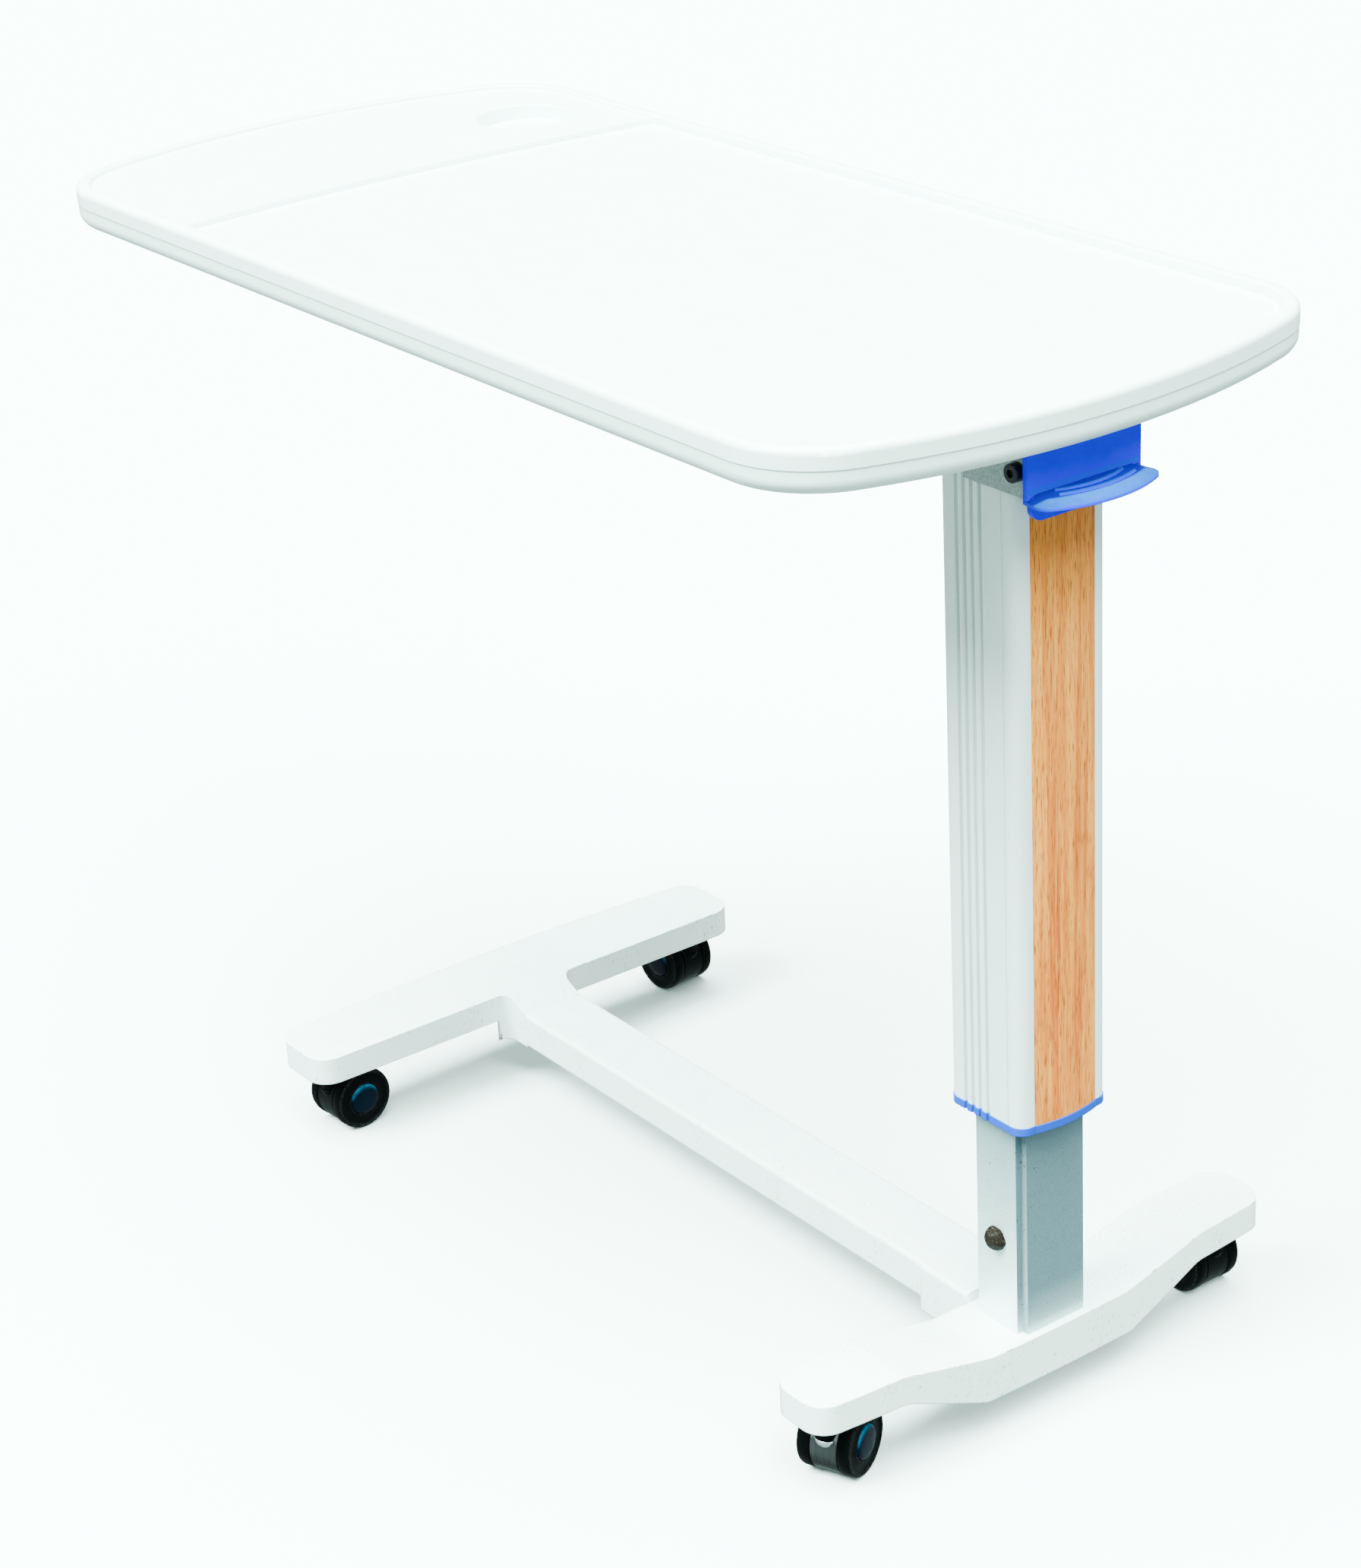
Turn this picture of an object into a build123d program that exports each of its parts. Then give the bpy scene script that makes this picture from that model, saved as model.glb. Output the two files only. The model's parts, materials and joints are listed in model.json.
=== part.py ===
from build123d import *
import os
from math import atan2, degrees, pi, sqrt

os.makedirs("parts", exist_ok=True)

# Height-adjustable overbed table on casters. Millimetres, +Z up, floor at z = 0.
# X runs along the tabletop, with the column near its +X end; Y = 0 is the plane of symmetry.

# ---- driving dimensions: tabletop -------------------------------------------------------
TOP_LENGTH = 880.0
TOP_WIDTH = 400.0
TOP_END_BOW = 44.0          # how far each short end bows out beyond its corners
TOP_CORNER_R = 64.0
SEAM_Z = 663.0              # parting line between the two shells
RIM_HEIGHT = 12.5           # top of the raised rim above the seam
RIM_WIDTH = 10.0
RIM_OUTER_R = 4.5
RIM_INNER_R = 2.2
DECK_HEIGHT = 6.0           # main writing surface above the seam
END_ZONE_HEIGHT = 9.6       # raised end zone above the seam
STEP_X = -238.0             # where the end zone starts, at the long sides
STEP_BOW = 13.0             # the step bows towards the end, in line with the end itself
LOWER_DEPTH = 15.0
LOWER_EDGE_R = 9.0
SEAM_INSET = 0.4
SHELL_WALL = 3.0
CAVITY_INSET = 6.0
CUP_X, CUP_Y = -315.0, 132.0
CUP_R = 34.0
CUP_DEPTH = 10.0
CUP_WALL = 2.5
CUP_LIP_R = 1.5
BOSS_R, BOSS_BORE_R = 4.5, 1.55
BOSS_BORE_DEPTH = 11.0
FRAME_T = 2.5               # pressed frame inside the tabletop
FRAME_X0, FRAME_X1 = -280.0, 418.0
CHANNEL_Y = 66.0            # middle of each stiffening channel
CHANNEL_HALF = 12.0
CHANNEL_HEIGHT = 11.0

# ---- driving dimensions: column ---------------------------------------------------------
COLUMN_X = 363.0            # axis of the inner column, gas spring and rod
INNER_X, INNER_Y = 45.0, 55.0
INNER_WALL = 3.0
INNER_NOTCH = 4.6
INNER_BORE_R = 8.0
INNER_TOP_Z = 505.0
OUTER_X0, OUTER_X1 = 329.0, 395.0
OUTER_Y = 71.0
OUTER_R = 9.0
OUTER_WALL = 3.5
OUTER_BOTTOM_Z = 210.0
RING_T = 5.0
RING_COLLAR = 12.0
INSERT_WIDTH = 48.5
INSERT_RECESS = 1.2
INSERT_BULGE = 3.5
INSERT_TOP_Z = 600.0
GLIDE_HEIGHT = 25.0
SLIDE_GAP = 0.3             # clearance at every sliding face of the column
FLUTE_X = [346.0, 352.5, 359.0, 366.0]
FLUTE_WIDTH, FLUTE_DEPTH = 3.2, 1.2
SEAM_LINE_X = 383.5         # fine joint line near the front of each side face
SEAM_LINE_WIDTH, SEAM_LINE_DEPTH = 0.8, 0.5
SCREW_PORT_R = 3.6          # ports extruded with the column for its head screws
BOLT_Z = 118.0
BOLT_R = 4.0
DOME_R, DOME_HEIGHT = 6.9, 6.0
PLUG_HEIGHT = 13.0          # bottom of the gas spring above the foot
PLUG_ABOVE_BOLT = 14.0

# ---- driving dimensions: base -----------------------------------------------------------
FOOT_UNDERSIDE_Z = 51.0
FOOT_T = 20.0
FOOT_HALF = 186.0
FOOT_END_R = 17.0
FAR_X0, FAR_X1 = -240.0, -183.0
FAR_BOW = 8.0
STUB_FLARE = 10.0
NEAR_X0, NEAR_X1 = 334.0, 382.0
NEAR_BOW = 9.0
NEAR_DROP = 14.0
NEAR_CENTRE_T = 31.0
DROP_Y0, DROP_Y1 = 60.0, 121.0
BAR_WIDTH, BAR_HEIGHT = 50.0, 27.0
BAR_TOP_Z = 62.5
BAR_WALL = 2.5
BAR_JOINT_X = -160.0
SLEEVE_X = 289.0
SLEEVE_WALL = 3.0
SLEEVE_BOTTOM_Z = 28.0
FIT_GAP = 0.2               # push fit of the crossbar spigot and the column plug
SPIGOT_LENGTH = 40.0
BAR_SCREW_X = [BAR_JOINT_X + 20.0, SLEEVE_X + 22.0]
BAR_HOLE_R = 3.3
NUT_PLATE_HALF, NUT_PLATE_T = 12.0, 4.0

# ---- driving dimensions: lever and release ----------------------------------------------
PIVOT_X, PIVOT_Z = 403.0, 629.0
PIVOT_R = 4.0
RUNNING_GAP = 0.06          # radial clearance of shafts in their holes
LEVER_WIDTH = 85.0
LEVER_PLATE_X0, LEVER_PLATE_X1 = 410.0, 413.0
LEVER_TOP_Z = 643.0
LEVER_SKIRT_Z = 602.0
PADDLE_TOP_Z = 617.5
PADDLE_T = 5.0
PADDLE_REACH_X = 439.4
PADDLE_RIM = 8.0            # width of the sloping rim along the front
PADDLE_RIM_DROP = 3.0
FINGER_RIBS = [(416.0, 421.5, 25.0), (423.0, 428.5, 28.0)]   # x at the ends, x in the middle, reach
HUB_R = 6.6
HUB_RUNS = [(-35.0, -9.0), (8.0, 10.5), (25.0, 35.0)]
SPRING_Y = 24.0
SPRING_TURNS, SPRING_PITCH = 7, 1.7
SPRING_COIL_R, SPRING_WIRE_R = 5.4, 0.55
BRACKET_T = 3.0
BRACKET_X0, BRACKET_X1 = 310.0, 416.0
BRACKET_HALF = 52.0
FLANGE_X0, FLANGE_X1 = 357.0, 407.8
FLANGE_INNER_Y = OUTER_Y / 2 + 1.0
FLANGE_OUTER_Y = FLANGE_INNER_Y + BRACKET_T
FLANGE_BOTTOM_Z = SEAM_Z - 49.0
PIN_CAP_R, PIN_CAP_LENGTH = 5.6, 6.0
TONGUE_T = 3.0
TONGUE_GAP = 0.3
TONGUE_HALF = 8.0
PIN_R = 2.5
PIN_TOP_Z = 623.0
PIN_BOTTOM_Z = 592.0
PIN_BORE_BOTTOM_Z = 586.0
HEAD_Z0, HEAD_Z1 = 588.0, 617.0
HEAD_SCREW_Y = (-13.0, 13.0)
HEAD_SCREW_Z = 602.5
ROD_R = 5.0
ROD_TOP_Z = 603.0
CYL_R, CYL_BORE_R = 14.0, 12.5
CYL_Z0, CYL_Z1 = 100.0, 498.0
CYL_BASE_T, CYL_GLAND_T = 6.0, 12.0
PISTON_Z0, PISTON_Z1 = 262.0, 276.0

# ---- driving dimensions: casters --------------------------------------------------------
WHEEL_R = 23.0
WHEEL_WIDTH = 9.2
WHEEL_OFFSET = 9.3          # inner face of each wheel from the middle of the caster
TRAIL = 14.0
STEM_R = 4.0
AXLE_R = 3.0
CAP_R = 11.5
CAP_SEAT = 1.2              # depth of the cap's seat in the wheel
CAP_RISE = 1.6
WHEEL_OUTER_EDGE_R = 1.4
WHEEL_INNER_EDGE_R = 0.8
COVER_R = 21.8              # curved cover between the wheels
COVER_FRONT_X = TRAIL + 6.0
HOOD_BOTTOM_Z = 3.0
DOME_TOP_Z = 48.9
DOME_OUTER_R = 8.8
BUSH_R = 7.0
BUSH_DEPTH = 16.0
STEM_BOTTOM_Z = 33.0
CASTER_Y = 160.0
NEAR_CASTER_X, FAR_CASTER_X = 358.0, -212.0
# name, pivot x, pivot y, direction of the trail in degrees from +X
CASTERS = [
    ("near_left", NEAR_CASTER_X, -CASTER_Y, 113.0),
    ("near_right", NEAR_CASTER_X, CASTER_Y, 180.0),
    ("far_left", FAR_CASTER_X, -CASTER_Y, 93.0),
    ("far_right", FAR_CASTER_X, CASTER_Y, 185.0),
]

RIM_TOP_Z = SEAM_Z + RIM_HEIGHT
DECK_Z = SEAM_Z + DECK_HEIGHT
END_ZONE_Z = SEAM_Z + END_ZONE_HEIGHT
LOWER_Z = SEAM_Z - LOWER_DEPTH
CAVITY_FLOOR_Z = LOWER_Z + SHELL_WALL
FOOT_TOP_Z = FOOT_UNDERSIDE_Z + FOOT_T
NEAR_TOP_Z = FOOT_TOP_Z - NEAR_DROP
NEAR_BOTTOM_Z = NEAR_TOP_Z - NEAR_CENTRE_T
INNER_X0 = COLUMN_X - INNER_X / 2
INNER_X1 = COLUMN_X + INNER_X / 2
COLUMN_TOP_Z = LOWER_Z - BRACKET_T
OUTER_MID_X = (OUTER_X0 + OUTER_X1) / 2
TONGUE_Z = PIN_TOP_Z + TONGUE_GAP
PLUG_TOP_Z = NEAR_TOP_Z + PLUG_HEIGHT
BAR_BOTTOM_Z = BAR_TOP_Z - BAR_HEIGHT
WHEEL_FACE = WHEEL_OFFSET + WHEEL_WIDTH


def save(shape, name):
    export_step(shape, f"parts/{name}.step")


def box(x0, x1, y0, y1, z0, z1):
    middle = Pos((x0 + x1) / 2, (y0 + y1) / 2, (z0 + z1) / 2)
    return middle * Box(x1 - x0, y1 - y0, z1 - z0)


def rod_z(x, y, z0, z1, r):
    return Pos(x, y, (z0 + z1) / 2) * Cylinder(r, z1 - z0)


def rod_x(x0, x1, y, z, r):
    return Pos((x0 + x1) / 2, y, z) * Rot(0, 90, 0) * Cylinder(r, x1 - x0)


def rod_y(x, z, y0, y1, r):
    return Pos(x, (y0 + y1) / 2, z) * Rot(90, 0, 0) * Cylinder(r, y1 - y0)


def level_edges(shape, z):
    """Edges that lie wholly at height z."""
    return [e for e in shape.edges() if abs(e.bounding_box().min.Z - z) < 0.01
            and abs(e.bounding_box().max.Z - z) < 0.01]


def upright_edges(shape):
    return shape.edges().filter_by(Axis.Z)


def group(solids):
    return Compound(children=list(solids))


# ---- tabletop ---------------------------------------------------------------------------

def top_outline(inset):
    """Tabletop outline: straight long sides, bowed ends, round corners."""
    half_w = TOP_WIDTH / 2
    end_r = (half_w ** 2 + TOP_END_BOW ** 2) / (2 * TOP_END_BOW)
    end_x = TOP_LENGTH / 2 - end_r
    corner_y = half_w - TOP_CORNER_R
    corner_x = end_x + sqrt((end_r - TOP_CORNER_R) ** 2 - corner_y ** 2)
    swing = degrees(atan2(corner_y, corner_x - end_x))
    big, small = end_r - inset, TOP_CORNER_R - inset
    side = half_w - inset
    edges = [
        CenterArc((end_x, 0), big, -swing, 2 * swing),
        CenterArc((corner_x, corner_y), small, swing, 90 - swing),
        Line((corner_x, side), (-corner_x, side)),
        CenterArc((-corner_x, corner_y), small, 90, 90 - swing),
        CenterArc((-end_x, 0), big, 180 - swing, 2 * swing),
        CenterArc((-corner_x, -corner_y), small, 180 + swing, 90 - swing),
        Line((-corner_x, -side), (corner_x, -side)),
        CenterArc((corner_x, -corner_y), small, 270, 90 - swing),
    ]
    return make_face(edges)


def top_prism(inset, z0, z1):
    return extrude(Pos(0, 0, z0) * top_outline(inset), z1 - z0)


def boss_places():
    """Screw bosses that join the two shells."""
    places = [(x, y) for x in (-330.0, -165.0, 0.0, 165.0, 330.0) for y in (-172.0, 172.0)]
    return places + [(-410.0, 0.0), (412.0, 70.0), (412.0, -70.0)]


def tabletop_upper():
    body = top_prism(0, SEAM_Z, RIM_TOP_Z)
    body = fillet(level_edges(body, RIM_TOP_Z), RIM_OUTER_R)
    half = TOP_WIDTH / 2
    step_r = (half ** 2 + STEP_BOW ** 2) / (2 * STEP_BOW)
    step_x = STEP_X - STEP_BOW + step_r
    well = top_prism(RIM_WIDTH, END_ZONE_Z, RIM_TOP_Z + 10)
    deck = top_prism(RIM_WIDTH, DECK_Z, END_ZONE_Z + 1) & rod_z(step_x, 0, DECK_Z, END_ZONE_Z + 1, step_r)
    body = body - well
    inner_lip = [e for e in level_edges(body, RIM_TOP_Z) if e.bounding_box().max.Y < half - RIM_WIDTH + 0.1]
    body = fillet(inner_lip, RIM_INNER_R)
    body = body - deck
    body = body - top_prism(CAVITY_INSET, SEAM_Z, DECK_Z - SHELL_WALL)
    cup_bottom = END_ZONE_Z - CUP_DEPTH
    cup = rod_z(CUP_X, CUP_Y, cup_bottom - CUP_WALL, END_ZONE_Z - 1, CUP_R + CUP_WALL)
    recess = rod_z(CUP_X, CUP_Y, cup_bottom, RIM_TOP_Z, CUP_R)
    for x, y in boss_places():
        body = body + rod_z(x, y, CAVITY_FLOOR_Z, DECK_Z - 1, BOSS_R)
    body = body + cup
    body = body - recess
    for x, y in boss_places():
        body = body - rod_z(x, y, CAVITY_FLOOR_Z, CAVITY_FLOOR_Z + BOSS_BORE_DEPTH, BOSS_BORE_R)
    recess_rim = [e for e in level_edges(body, END_ZONE_Z) if abs(e.length - 2 * pi * CUP_R) < 2]
    return fillet(recess_rim, CUP_LIP_R)


def mounting_screw_places():
    return [(x, y) for x in (322.0, 400.0) for y in (-45.0, 45.0)]


def tabletop_lower():
    body = top_prism(SEAM_INSET, LOWER_Z, SEAM_Z)
    body = fillet(level_edges(body, LOWER_Z), LOWER_EDGE_R)
    body = body - top_prism(CAVITY_INSET, CAVITY_FLOOR_Z, SEAM_Z)
    for x, y in boss_places():
        body = body - rod_z(x, y, LOWER_Z, CAVITY_FLOOR_Z, 1.7)
        body = body - Pos(x, y, LOWER_Z + 1) * Cone(3.2, 1.7, 2)
    for x, y in mounting_screw_places():
        body = body - rod_z(x, y, LOWER_Z, CAVITY_FLOOR_Z, 3.3)
    return body


def shell_screws():
    screws = []
    for x, y in boss_places():
        head = Pos(x, y, LOWER_Z + 1) * Cone(3.1, 1.6, 2)
        shank = rod_z(x, y, LOWER_Z + 1, CAVITY_FLOOR_Z + 9, 1.5)
        screws.append(head + shank - rod_z(x, y, LOWER_Z, LOWER_Z + 1, 0.9))
    return group(screws)


def table_frame():
    """Pressed steel tray and two stiffening channels inside the tabletop."""
    z0, z1 = CAVITY_FLOOR_Z, CAVITY_FLOOR_Z + FRAME_T
    tray_half = CHANNEL_Y - 6
    frame = box(FRAME_X1 - 268, FRAME_X1, -tray_half, tray_half, z0, z1)
    for side in (-1, 1):
        y_mid = side * CHANNEL_Y
        y0, y1 = y_mid - CHANNEL_HALF, y_mid + CHANNEL_HALF
        frame = frame + box(FRAME_X0, FRAME_X1 - 18, y0, y1, z0, z1)
        for wall_y in (y0, y1 - 2):
            frame = frame + box(FRAME_X0, FRAME_X1 - 18, wall_y, wall_y + 2, z0, z0 + CHANNEL_HEIGHT)
    frame = frame + box(FRAME_X0 + 80, FRAME_X0 + 120, -tray_half, tray_half, z0, z1)
    for x, y in mounting_screw_places():
        frame = frame + rod_z(x, y, z0, z0 + 9, 6)
        frame = frame - rod_z(x, y, z0, z0 + 9, 3.05)
    return frame


# ---- column head: bracket, lever and release ---------------------------------------------

def column_bracket():
    """Plate under the tabletop with an ear on each side for the lever pin."""
    body = box(BRACKET_X0, BRACKET_X1, -BRACKET_HALF, BRACKET_HALF, COLUMN_TOP_Z, LOWER_Z)
    body = fillet(upright_edges(body), 8)
    for side in (-1, 1):
        y0, y1 = sorted((side * FLANGE_INNER_Y, side * FLANGE_OUTER_Y))
        body = body + box(FLANGE_X0, FLANGE_X1, y0, y1, FLANGE_BOTTOM_Z, COLUMN_TOP_Z)
    body = body - rod_y(PIVOT_X, PIVOT_Z, -FLANGE_OUTER_Y, FLANGE_OUTER_Y, PIVOT_R + 0.02)
    for x, y in mounting_screw_places():
        body = body - rod_z(x, y, COLUMN_TOP_Z, LOWER_Z, 3.3)
    for x, y in column_screw_places():
        body = body - rod_z(x, y, COLUMN_TOP_Z, LOWER_Z, 2.1)
        body = body - Pos(x, y, LOWER_Z - 1.25) * Cone(2.1, 4.2, 2.5)
    return body


def column_screw_places():
    return [(x, y) for x in (336.0, 388.0) for y in (-28.8, 28.8)]


def bracket_screws():
    screws = []
    for x, y in mounting_screw_places():
        head = rod_z(x, y, COLUMN_TOP_Z - 4, COLUMN_TOP_Z, 5.0)
        head = head - Pos(x, y, COLUMN_TOP_Z - 4) * extrude(RegularPolygon(2.6, 6), 2.5)
        shank = rod_z(x, y, COLUMN_TOP_Z, CAVITY_FLOOR_Z + 8, 3.0)
        screws.append(head + shank)
    return group(screws)


def column_screws():
    screws = []
    for x, y in column_screw_places():
        head = Pos(x, y, LOWER_Z - 1.25) * Cone(2.0, 4.1, 2.5)
        shank = rod_z(x, y, COLUMN_TOP_Z - 15, LOWER_Z - 1, 2.0)
        screws.append(head + shank)
    return group(screws)


def pivot_pin():
    """Pin across the bracket ears with a socket cap at each end."""
    head_y = FLANGE_OUTER_Y + PIN_CAP_LENGTH
    pin = rod_y(PIVOT_X, PIVOT_Z, -FLANGE_OUTER_Y, FLANGE_OUTER_Y, PIVOT_R)
    for side in (-1, 1):
        y0, y1 = sorted((side * FLANGE_OUTER_Y, side * head_y))
        head = rod_y(PIVOT_X, PIVOT_Z, y0, y1, PIN_CAP_R)
        hexagon = extrude(RegularPolygon(2.9, 6), 2.8, both=True)
        socket = Pos(PIVOT_X, side * head_y, PIVOT_Z) * Rot(90, 0, 0) * hexagon
        head = fillet(head.edges().filter_by(GeomType.CIRCLE).sort_by(Axis.Y)[-1 if side > 0 else 0], 0.7)
        pin = pin + (head - socket)
    return pin


def paddle_outline():
    """Straight root on the plate, flared ends and a bowed front."""
    root = LEVER_WIDTH / 2
    tip = root + 2.5
    shoulder_x = PADDLE_REACH_X - 12.5
    front = ThreePointArc((shoulder_x, -tip), (PADDLE_REACH_X, 0), (shoulder_x, tip))
    return make_face([
        Line((LEVER_PLATE_X0, -root), (shoulder_x, -tip)),
        front,
        Line((shoulder_x, tip), (LEVER_PLATE_X0, root)),
        Line((LEVER_PLATE_X0, root), (LEVER_PLATE_X0, -root)),
    ])


def finger_rib(x_ends, x_middle, half):
    """Raised curved rib across the paddle with a round top."""
    path = ThreePointArc((x_ends, -half, PADDLE_TOP_Z), (x_middle, 0, PADDLE_TOP_Z),
                         (x_ends, half, PADDLE_TOP_Z))
    section = Plane(origin=path @ 0, z_dir=path % 0) * Circle(1.2)
    return sweep(section, path)


def height_lever():
    half = LEVER_WIDTH / 2
    paddle_z0 = PADDLE_TOP_Z - PADDLE_T
    plate = box(LEVER_PLATE_X0, LEVER_PLATE_X1, -half, half, paddle_z0, LEVER_TOP_Z)
    skirt = box(LEVER_PLATE_X0, LEVER_PLATE_X1 + 1.5, -half + 3, half - 3, LEVER_SKIRT_Z, PADDLE_TOP_Z - 1)
    skirt = fillet([e for e in skirt.edges().filter_by(Axis.X)
                    if e.center().Z < LEVER_SKIRT_Z + 1], 7)
    paddle = extrude(Pos(0, 0, paddle_z0) * paddle_outline(), PADDLE_T)
    corners = [e for e in upright_edges(paddle) if e.center().X > LEVER_PLATE_X1]
    paddle = fillet(corners, 9)
    front_top = [e for e in level_edges(paddle, PADDLE_TOP_Z) if e.center().X > LEVER_PLATE_X1 + 2]
    paddle = chamfer(front_top, PADDLE_RIM_DROP, PADDLE_RIM)
    lever = plate + skirt + paddle
    for y0, y1 in HUB_RUNS:
        hub = rod_y(PIVOT_X, PIVOT_Z, y0, y1, HUB_R)
        web = box(PIVOT_X, LEVER_PLATE_X0 + 1, y0, y1, PIVOT_Z - 5, PIVOT_Z + 5)
        bore = rod_y(PIVOT_X, PIVOT_Z, y0 - 1, y1 + 1, PIVOT_R + RUNNING_GAP)
        lever = lever + (hub + web - bore)
    for x_ends, x_middle, reach in FINGER_RIBS:
        lever = lever + finger_rib(x_ends, x_middle, reach)
    return lever


def lever_tongue():
    """Steel strip from the lever plate, under the pin, to the release pin."""
    half = TONGUE_HALF
    strip = box(COLUMN_X - 6, LEVER_PLATE_X0, -half, half, TONGUE_Z, TONGUE_Z + TONGUE_T)
    strip = fillet([e for e in upright_edges(strip) if e.center().X < COLUMN_X], 5)
    notch = rod_y(PIVOT_X, PIVOT_Z, -half, half, PIVOT_R + TONGUE_GAP)
    return strip - notch


def lever_spring():
    """Torsion spring around the pivot pin, wound as a close coil."""
    helix = Helix(SPRING_PITCH, SPRING_TURNS * SPRING_PITCH, SPRING_COIL_R)
    section = Plane(origin=helix @ 0, z_dir=helix % 0) * Circle(SPRING_WIRE_R)
    coil = sweep(section, helix, is_frenet=True)
    return Pos(PIVOT_X, SPRING_Y, PIVOT_Z) * Rot(90, 0, 0) * coil


def rod_head():
    """Block that ties the gas spring rod to the outer column."""
    half = OUTER_Y / 2 - OUTER_WALL
    body = box(COLUMN_X - 18, COLUMN_X + 18, -half, half, HEAD_Z0, HEAD_Z1)
    body = fillet(upright_edges(body), 3)
    body = body + box(OUTER_X0 + OUTER_WALL, COLUMN_X, -20, 20, HEAD_Z0, HEAD_Z1)
    for y in HEAD_SCREW_Y:
        body = body - rod_x(OUTER_X0, OUTER_X0 + 15, y, HEAD_SCREW_Z, 2.02)
    body = body - rod_z(COLUMN_X, 0, HEAD_Z0, ROD_TOP_Z, ROD_R + 0.02)
    body = body - rod_z(COLUMN_X, 0, ROD_TOP_Z, HEAD_Z1, PIN_R + RUNNING_GAP)
    return body


def head_screws():
    """Two screws through the back wall of the column into the rod head."""
    screws = []
    for y in HEAD_SCREW_Y:
        shank = rod_x(OUTER_X0, OUTER_X0 + 12, y, HEAD_SCREW_Z, 2.0)
        head = rod_x(OUTER_X0 - 2.2, OUTER_X0, y, HEAD_SCREW_Z, 3.8)
        head = fillet(head.edges().filter_by(GeomType.CIRCLE).sort_by(Axis.X)[0], 1.2)
        screws.append(shank + head)
    return group(screws)


def gas_rod():
    rod = rod_z(COLUMN_X, 0, PISTON_Z0, ROD_TOP_Z, ROD_R)
    rod = rod + rod_z(COLUMN_X, 0, PISTON_Z0, PISTON_Z1, CYL_BORE_R - RUNNING_GAP)
    return rod - rod_z(COLUMN_X, 0, PIN_BORE_BOTTOM_Z, ROD_TOP_Z, PIN_R + RUNNING_GAP)


def release_pin():
    pin = rod_z(COLUMN_X, 0, PIN_BOTTOM_Z, PIN_TOP_Z, PIN_R)
    return fillet(level_edges(pin, PIN_TOP_Z), 1.2)


def gas_cylinder():
    body = rod_z(COLUMN_X, 0, CYL_Z0, CYL_Z1, CYL_R)
    body = fillet(level_edges(body, CYL_Z1), 2)
    body = body - rod_z(COLUMN_X, 0, CYL_Z0 + CYL_BASE_T, CYL_Z1 - CYL_GLAND_T, CYL_BORE_R)
    body = body - rod_z(COLUMN_X, 0, CYL_Z1 - CYL_GLAND_T, CYL_Z1, ROD_R + RUNNING_GAP)
    return body + rod_z(COLUMN_X, 0, PLUG_TOP_Z, CYL_Z0, ROD_R)


# ---- column ------------------------------------------------------------------------------

def outer_profile(grow):
    size_x = OUTER_X1 - OUTER_X0 + 2 * grow
    size_y = OUTER_Y + 2 * grow
    return Pos(OUTER_MID_X, 0) * RectangleRounded(size_x, size_y, OUTER_R + grow)


def insert_profile():
    """Strip with a flat back and a gently bowed face."""
    back_x = OUTER_X1 - INSERT_RECESS
    half = INSERT_WIDTH / 2
    bow = ThreePointArc((OUTER_X1 + 0.2, -half), (OUTER_X1 + INSERT_BULGE, 0), (OUTER_X1 + 0.2, half))
    return make_face([
        Line((back_x, half), (back_x, -half)),
        Line((back_x, -half), (OUTER_X1 + 0.2, -half)),
        bow,
        Line((OUTER_X1 + 0.2, half), (back_x, half)),
    ])


def outer_column():
    length = COLUMN_TOP_Z - OUTER_BOTTOM_Z
    body = extrude(Pos(0, 0, OUTER_BOTTOM_Z) * outer_profile(0), length)
    cavity = Pos(OUTER_MID_X, 0) * RectangleRounded(
        OUTER_X1 - OUTER_X0 - 2 * OUTER_WALL, OUTER_Y - 2 * OUTER_WALL, 4)
    body = body - extrude(Pos(0, 0, OUTER_BOTTOM_Z) * cavity, length)
    for side in (-1, 1):
        face_y = side * OUTER_Y / 2
        for x in FLUTE_X:
            groove = box(x - FLUTE_WIDTH / 2, x + FLUTE_WIDTH / 2, face_y - FLUTE_DEPTH,
                         face_y + FLUTE_DEPTH, OUTER_BOTTOM_Z, COLUMN_TOP_Z)
            body = body - groove
        seam_y0, seam_y1 = sorted((face_y, face_y - side * SEAM_LINE_DEPTH))
        body = body - box(SEAM_LINE_X, SEAM_LINE_X + SEAM_LINE_WIDTH, seam_y0, seam_y1,
                          OUTER_BOTTOM_Z, COLUMN_TOP_Z)
    half = INSERT_WIDTH / 2
    body = body - box(OUTER_X1 - INSERT_RECESS, OUTER_X1, -half, half, OUTER_BOTTOM_Z, COLUMN_TOP_Z)
    for x, y in column_screw_places():
        port = rod_z(x, y, OUTER_BOTTOM_Z, COLUMN_TOP_Z, SCREW_PORT_R)
        body = body + port - rod_z(x, y, COLUMN_TOP_Z - 16, COLUMN_TOP_Z, 2.05)
    slot = box(COLUMN_X + 20, OUTER_X1 + 1, -10, 10, 611, COLUMN_TOP_Z)
    body = body - slot
    for y in HEAD_SCREW_Y:
        body = body - rod_x(OUTER_X0, OUTER_X0 + OUTER_WALL, y, HEAD_SCREW_Z, 2.05)
    return body


def wood_insert():
    return extrude(Pos(0, 0, OUTER_BOTTOM_Z) * insert_profile(), INSERT_TOP_Z - OUTER_BOTTOM_Z)


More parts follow.
